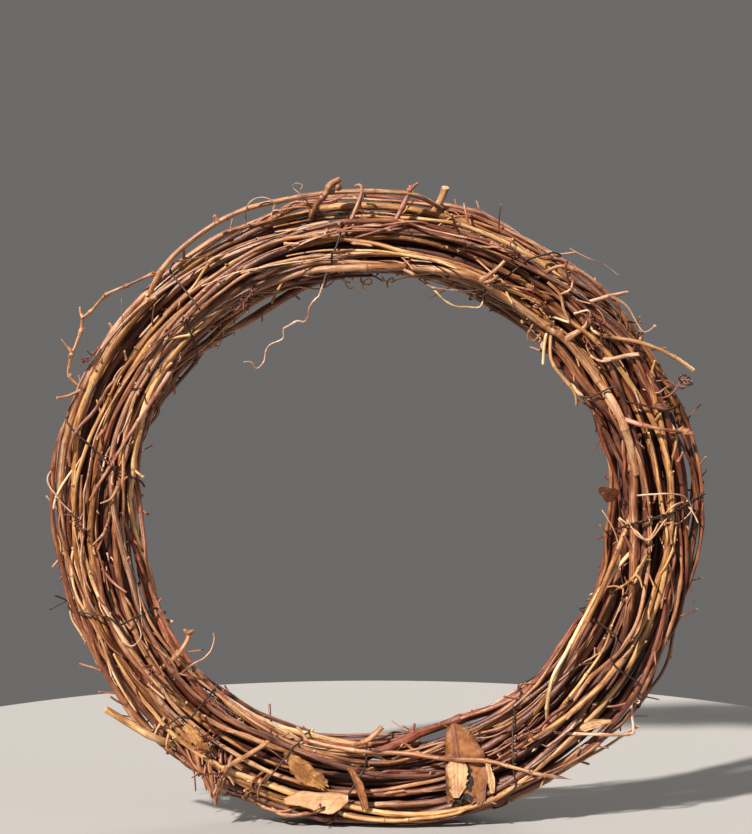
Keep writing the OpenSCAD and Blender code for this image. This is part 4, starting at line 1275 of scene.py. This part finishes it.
def build_leaf(
    name, foot, tip, face, width, fold, curl_up, slot, ragged=0.12, veins=6, torn=0.0, over=None,
    profile=None, dark=(), extra=False, look=None,
):
    """A dry leaf: a thin sheet, folded along its midrib, wavy, with a torn edge.

    profile: rows of (place along it, half its width on one side, on the other side).
    over: how far it lies in front of the bundle.
    torn: how deep its tip is torn.
    dark: patches of painted shade, as (place along it, place across it, size along it, size across it).
    extra: it has no CAD node of its own.
    look: its material, where that isn't its slot's.
    """
    rng = rng_of(name)
    rows, cols = LEAF_ROWS, LEAF_COLS
    foot, tip = CENTRE + np.array(foot), CENTRE + np.array(tip)
    long = np.linalg.norm(tip - foot)
    w = (tip - foot) / long
    f = unit(np.asarray(face, float) - (np.asarray(face, float) @ w) * w)
    side = np.cross(w, f)
    t = np.linspace(0, 1, rows + 1)
    half = width / 2 * (0.16 + 0.84 * np.sin(math.pi * t**0.8) ** 0.8)
    halves = [half, half]
    if profile:
        halves = [np.interp(t, [row[0] for row in profile], [row[k] for row in profile]) for k in (2, 1)]
    tears = []
    for _ in range(2):
        long_wave, short_wave, bites = [slow_noise(rng, t * 40, wave) for wave in (9, 2.5, 5)]
        tear = 1 - ragged * (0.5 + 0.5 * long_wave) - 0.35 * ragged * short_wave
        tears.append(tear - 0.7 * ragged * np.clip(3 * bites - 1, 0, 1))
    v = np.linspace(-1, 1, cols + 1)

    def by_side(pair):
        return np.where(v[None] < 0, pair[0][:, None], pair[1][:, None])

    across = v[None] * by_side(halves) * by_side(tears)
    wave = [slow_noise(rng, np.arange(rows + 1), 6) for _ in range(2)]
    lift = abs(across) * fold + by_side(wave) * 0.16 * half[:, None] * v[None] ** 2
    lift = lift + (curl_up * np.sin(math.pi * t))[:, None] - 0.25 * np.cos(v * 9)[None] * 0.4
    rib = np.exp(-((across / 0.5) ** 2))
    gap = long / veins
    branch = (t[:, None] * long - 0.75 * abs(across)) / gap
    branch = np.exp(-(((branch - np.round(branch)) * gap / 0.45) ** 2)) * (abs(v)[None] < 0.93)
    vein = np.maximum(rib, 0.6 * branch)
    lift = lift + 0.22 * vein
    reach = (t * long)[:, None] * np.ones_like(across)
    if torn:
        bite = 0.5 + 0.5 * slow_noise(rng, (v + 1) * 12, 2.4) + 0.35 * slow_noise(rng, (v + 1) * 12, 0.9)
        reach = reach * (1 - torn * bite[None] * (t[:, None] ** 3))
    top = foot + reach[..., None] * w + across[..., None] * side + lift[..., None] * f
    if over is not None:
        top = drape(top, over)
    # the patches of painted shade, set to -1 in the first mark
    painted_shade = np.zeros_like(across)
    for pu, pv, ru, rv in dark:
        jag = 0.35 * slow_noise(rng, t * 40, 1.6)[:, None]
        painted_shade[((t[:, None] - pu) / ru) ** 2 + ((v[None] - pv) / rv + jag) ** 2 < 1] = -1
    mark = np.stack([painted_shade, vein, np.broadcast_to(abs(v)[None] ** 3, vein.shape)], -1)
    grain = np.stack([np.broadcast_to((t * long)[:, None], across.shape), across, np.zeros_like(across)], -1)
    ids = np.arange((rows + 1) * (cols + 1)).reshape(rows + 1, cols + 1)
    n = ids.size
    quads = np.stack([ids[:-1, :-1], ids[1:, :-1], ids[1:, 1:], ids[:-1, 1:]], -1).reshape(-1, 4)
    faces = quads[:, ::-1].tolist() + (quads + n).tolist()
    loop = list(ids[0, :-1]) + list(ids[:-1, -1]) + list(ids[-1, :0:-1]) + list(ids[:0:-1, 0])
    faces += [(a, b, b + n, a + n) for a, b in zip(loop, loop[1:] + loop[:1])]
    sides = [top, top - LEAF_THICK * f], [grain, grain], [mark, mark * [0, 1, 1]]
    body, grain, mark = [np.concatenate(pair).reshape(-1, 3) for pair in sides]
    solid = Solid()
    solid.add(body, faces, grain + rng.uniform(-90, 90, 3), mark)
    node = (None, None) if extra else (name, slot)
    return finish_piece(f"{name}_blade", solid, LEAF[look or slot], *node)


# its two dark patches are painted shade, for the torn hole beside leaf_flap_1 and the shadow below that flap
build_leaf(
    "large_leaf", LEAF_TOP, LEAF_FOOT, (0.1, -1, 0.1), 22, -0.05, 1.2, "leaf_brown",
    dark=[(0.68, -0.3, 0.2, 0.13), (0.95, 0.2, 0.06, 0.6)], torn=0.1, over=0.6, ragged=0.07,
    profile=[
        (0, 0.8, 1), (0.06, 3.6, 5.5), (0.15, 5.2, 9), (0.38, 6.4, 12.5), (0.7, 8, 12.6), (1, 8.6, 11),
    ],
)
build_leaf(
    "leaf_flap_1", on_leaf(38, -120, 0.5), on_leaf(38.2, -136, 1.4), (0.2, -1, 0.15), 10, 0.12, 0.5,
    "leaf_tan", over=1.7, ragged=0.3, veins=3, extra=True,
    profile=[
        (0, 5.2, 4.6), (0.2, 5.6, 6.2), (0.45, 5.4, 5.4), (0.62, 5.2, 6.6), (0.85, 4.6, 3.4), (1, 2.6, 0.8),
    ],
)
build_leaf(
    "leaf_flap_2", on_leaf(52, -119, 0.5), on_leaf(54.5, -134, 1.5), (0.4, -1, 0.1), 5, 0.2, 0.4,
    "leaf_tan", over=1.2, ragged=0.25, veins=3, extra=True,
    profile=[(0, 0.6, 0.8), (0.3, 1.8, 1.6), (0.7, 2, 2.4), (1, 1.2, 0.8)],
)
build_leaf(
    "pale_leaf", on(-12.5, -137.2, 1), (-42.5, -16.5, -138.2), (-0.1, -0.9, 0.35), 13, 0.3, 1, "leaf_tan",
    veins=5, over=0.6, ragged=0.08,
    profile=[
        (0, 1.5, 1.5), (0.12, 2.8, 5), (0.25, 3.2, 7.4), (0.45, 3.2, 7.2), (0.6, 4, 5.2), (0.75, 4.4, 3.2),
        (0.92, 2.2, 2), (1, 1.2, 1),
    ],
)
build_leaf(
    "golden_leaf", on(-42.5, -116.5, 0.6), on(-21, -134, 1.2), (0.1, -1, -0.1), 12, -0.1, 0.6,
    "leaf_golden", ragged=0.3, over=0.6, torn=0.14,
    profile=[
        (0, 1, 1), (0.12, 2.7, 2.5), (0.32, 6, 4.6), (0.55, 6.8, 4.6), (0.75, 5.5, 4.4), (0.9, 4.4, 4),
        (1, 3, 3.4),
    ],
)
build_leaf(
    "leaf_fragment", on(-88, -102, 0.5), on(-77, -117, 0.6), (0, -1, 0.1), 9, -0.1, 0.5, "leaf_golden",
    ragged=0.42, over=0.4, veins=4, extra=True,
)
build_leaf(
    "leaf_scrap", on(109.4, -100, 1.5), on(95.3, -104, 1.5), (0, -1, 0.1), 6, 0.25, 0.8, "leaf_tan",
    veins=3, over=0.6,
    profile=[(0, 0.8, 0.5), (0.25, 2.4, 0.9), (0.6, 3.4, 1.6), (0.85, 2.8, 2), (1, 1, 0.8)],
)
build_leaf(
    "small_leaf", on(112.5, 2.5, -0.5), (103.2, -15, 8.5), (-0.35, -1, 0.15), 8.5, 0.35, 1, "leaf_brown",
    veins=3, look="leaf_red",
)
build_leaf(
    "outer_flap", on(128, 46.5, 0.2), (136.8, -10, 44), (0.4, -1, 0.3), 6, 0.35, 0.6, "leaf_brown", veins=3,
    ragged=0.35, extra=True, look="leaf_red",
)
build_leaf(
    "twig_flap", (135.5, -14.3, 33.6), (146.5, -15.2, 32.8), (0.1, -1, 0.3), 4, 0.3, 0.3, "leaf_brown",
    veins=3, ragged=0.2, extra=True, look="leaf_red",
    profile=[(0, 0.3, 0.5), (0.3, 0.4, 2.4), (0.55, 0.4, 3.6), (0.75, 0.4, 3), (1, 0.3, 0.4)],
)
build_leaf(
    "bark_strip", on(-11.5, -123, 0.8), on(-4.4, -142, 1.5), (0.2, -1, 0), 4.2, 0.6, 0.8, "leaf_brown",
    ragged=0.12, over=0.5,
    profile=[(0, 2.6, 0.6), (0.15, 1.6, 1.6), (0.4, 1.2, 2.8), (0.7, 1.4, 2.6), (1, 1.6, 1.6)],
)


# ---------------------------------------------------------------- floor, light and camera
def studio():
    """A round pale floor, a dim sky and three soft suns."""
    mesh = bpy.data.meshes.new("floor")
    rim = [(FLOOR_R * cosd(a), FLOOR_R * sind(a)) for a in range(0, 360, 3)]
    n = len(rim)
    points = [(x, y, z) for z in (0, -FLOOR_THICK) for x, y in rim]
    walls = [(i, i + n, (i + 1) % n + n, (i + 1) % n) for i in range(n)]
    mesh.from_pydata(points, [], [tuple(range(n)), tuple(range(2 * n - 1, n - 1, -1))] + walls)
    floor = link("floor", mesh)
    floor.location.z = -FLOOR_DROP
    mesh.materials.append(Nodes("floor").finish(Base_Color=FLOOR_GREY, Roughness=0.9))
    world = bpy.data.worlds.new("studio")
    bpy.context.scene.world = world
    world.use_nodes = True
    back = next(n for n in world.node_tree.nodes if n.type == "BACKGROUND")
    back.inputs["Color"].default_value = SKY
    back.inputs["Strength"].default_value = SKY_STRENGTH
    for name, where, angle, power, colour in SUNS:
        data = bpy.data.lights.new(name, "SUN")
        data.energy, data.angle, data.color = power, math.radians(angle), colour
        link(name, data).rotation_euler = Vector(where).to_track_quat("Z", "Y").to_euler()


def camera():
    """The photograph's view: from the front and a little above, with the ring low in an upright frame."""
    data = bpy.data.cameras.new("camera")
    cam = link("camera", data)
    back = Vector((0, -cosd(VIEW_ABOVE), sind(VIEW_ABOVE)))
    data.lens = data.sensor_width * VIEW_DISTANCE / VIEW_TALL
    cam.location = Vector(VIEW_AT) + VIEW_DISTANCE * back
    cam.rotation_euler = back.to_track_quat("Z", "Y").to_euler()
    bpy.context.scene.camera = cam


studio()
camera()
bpy.context.scene.view_settings.view_transform = "Standard"
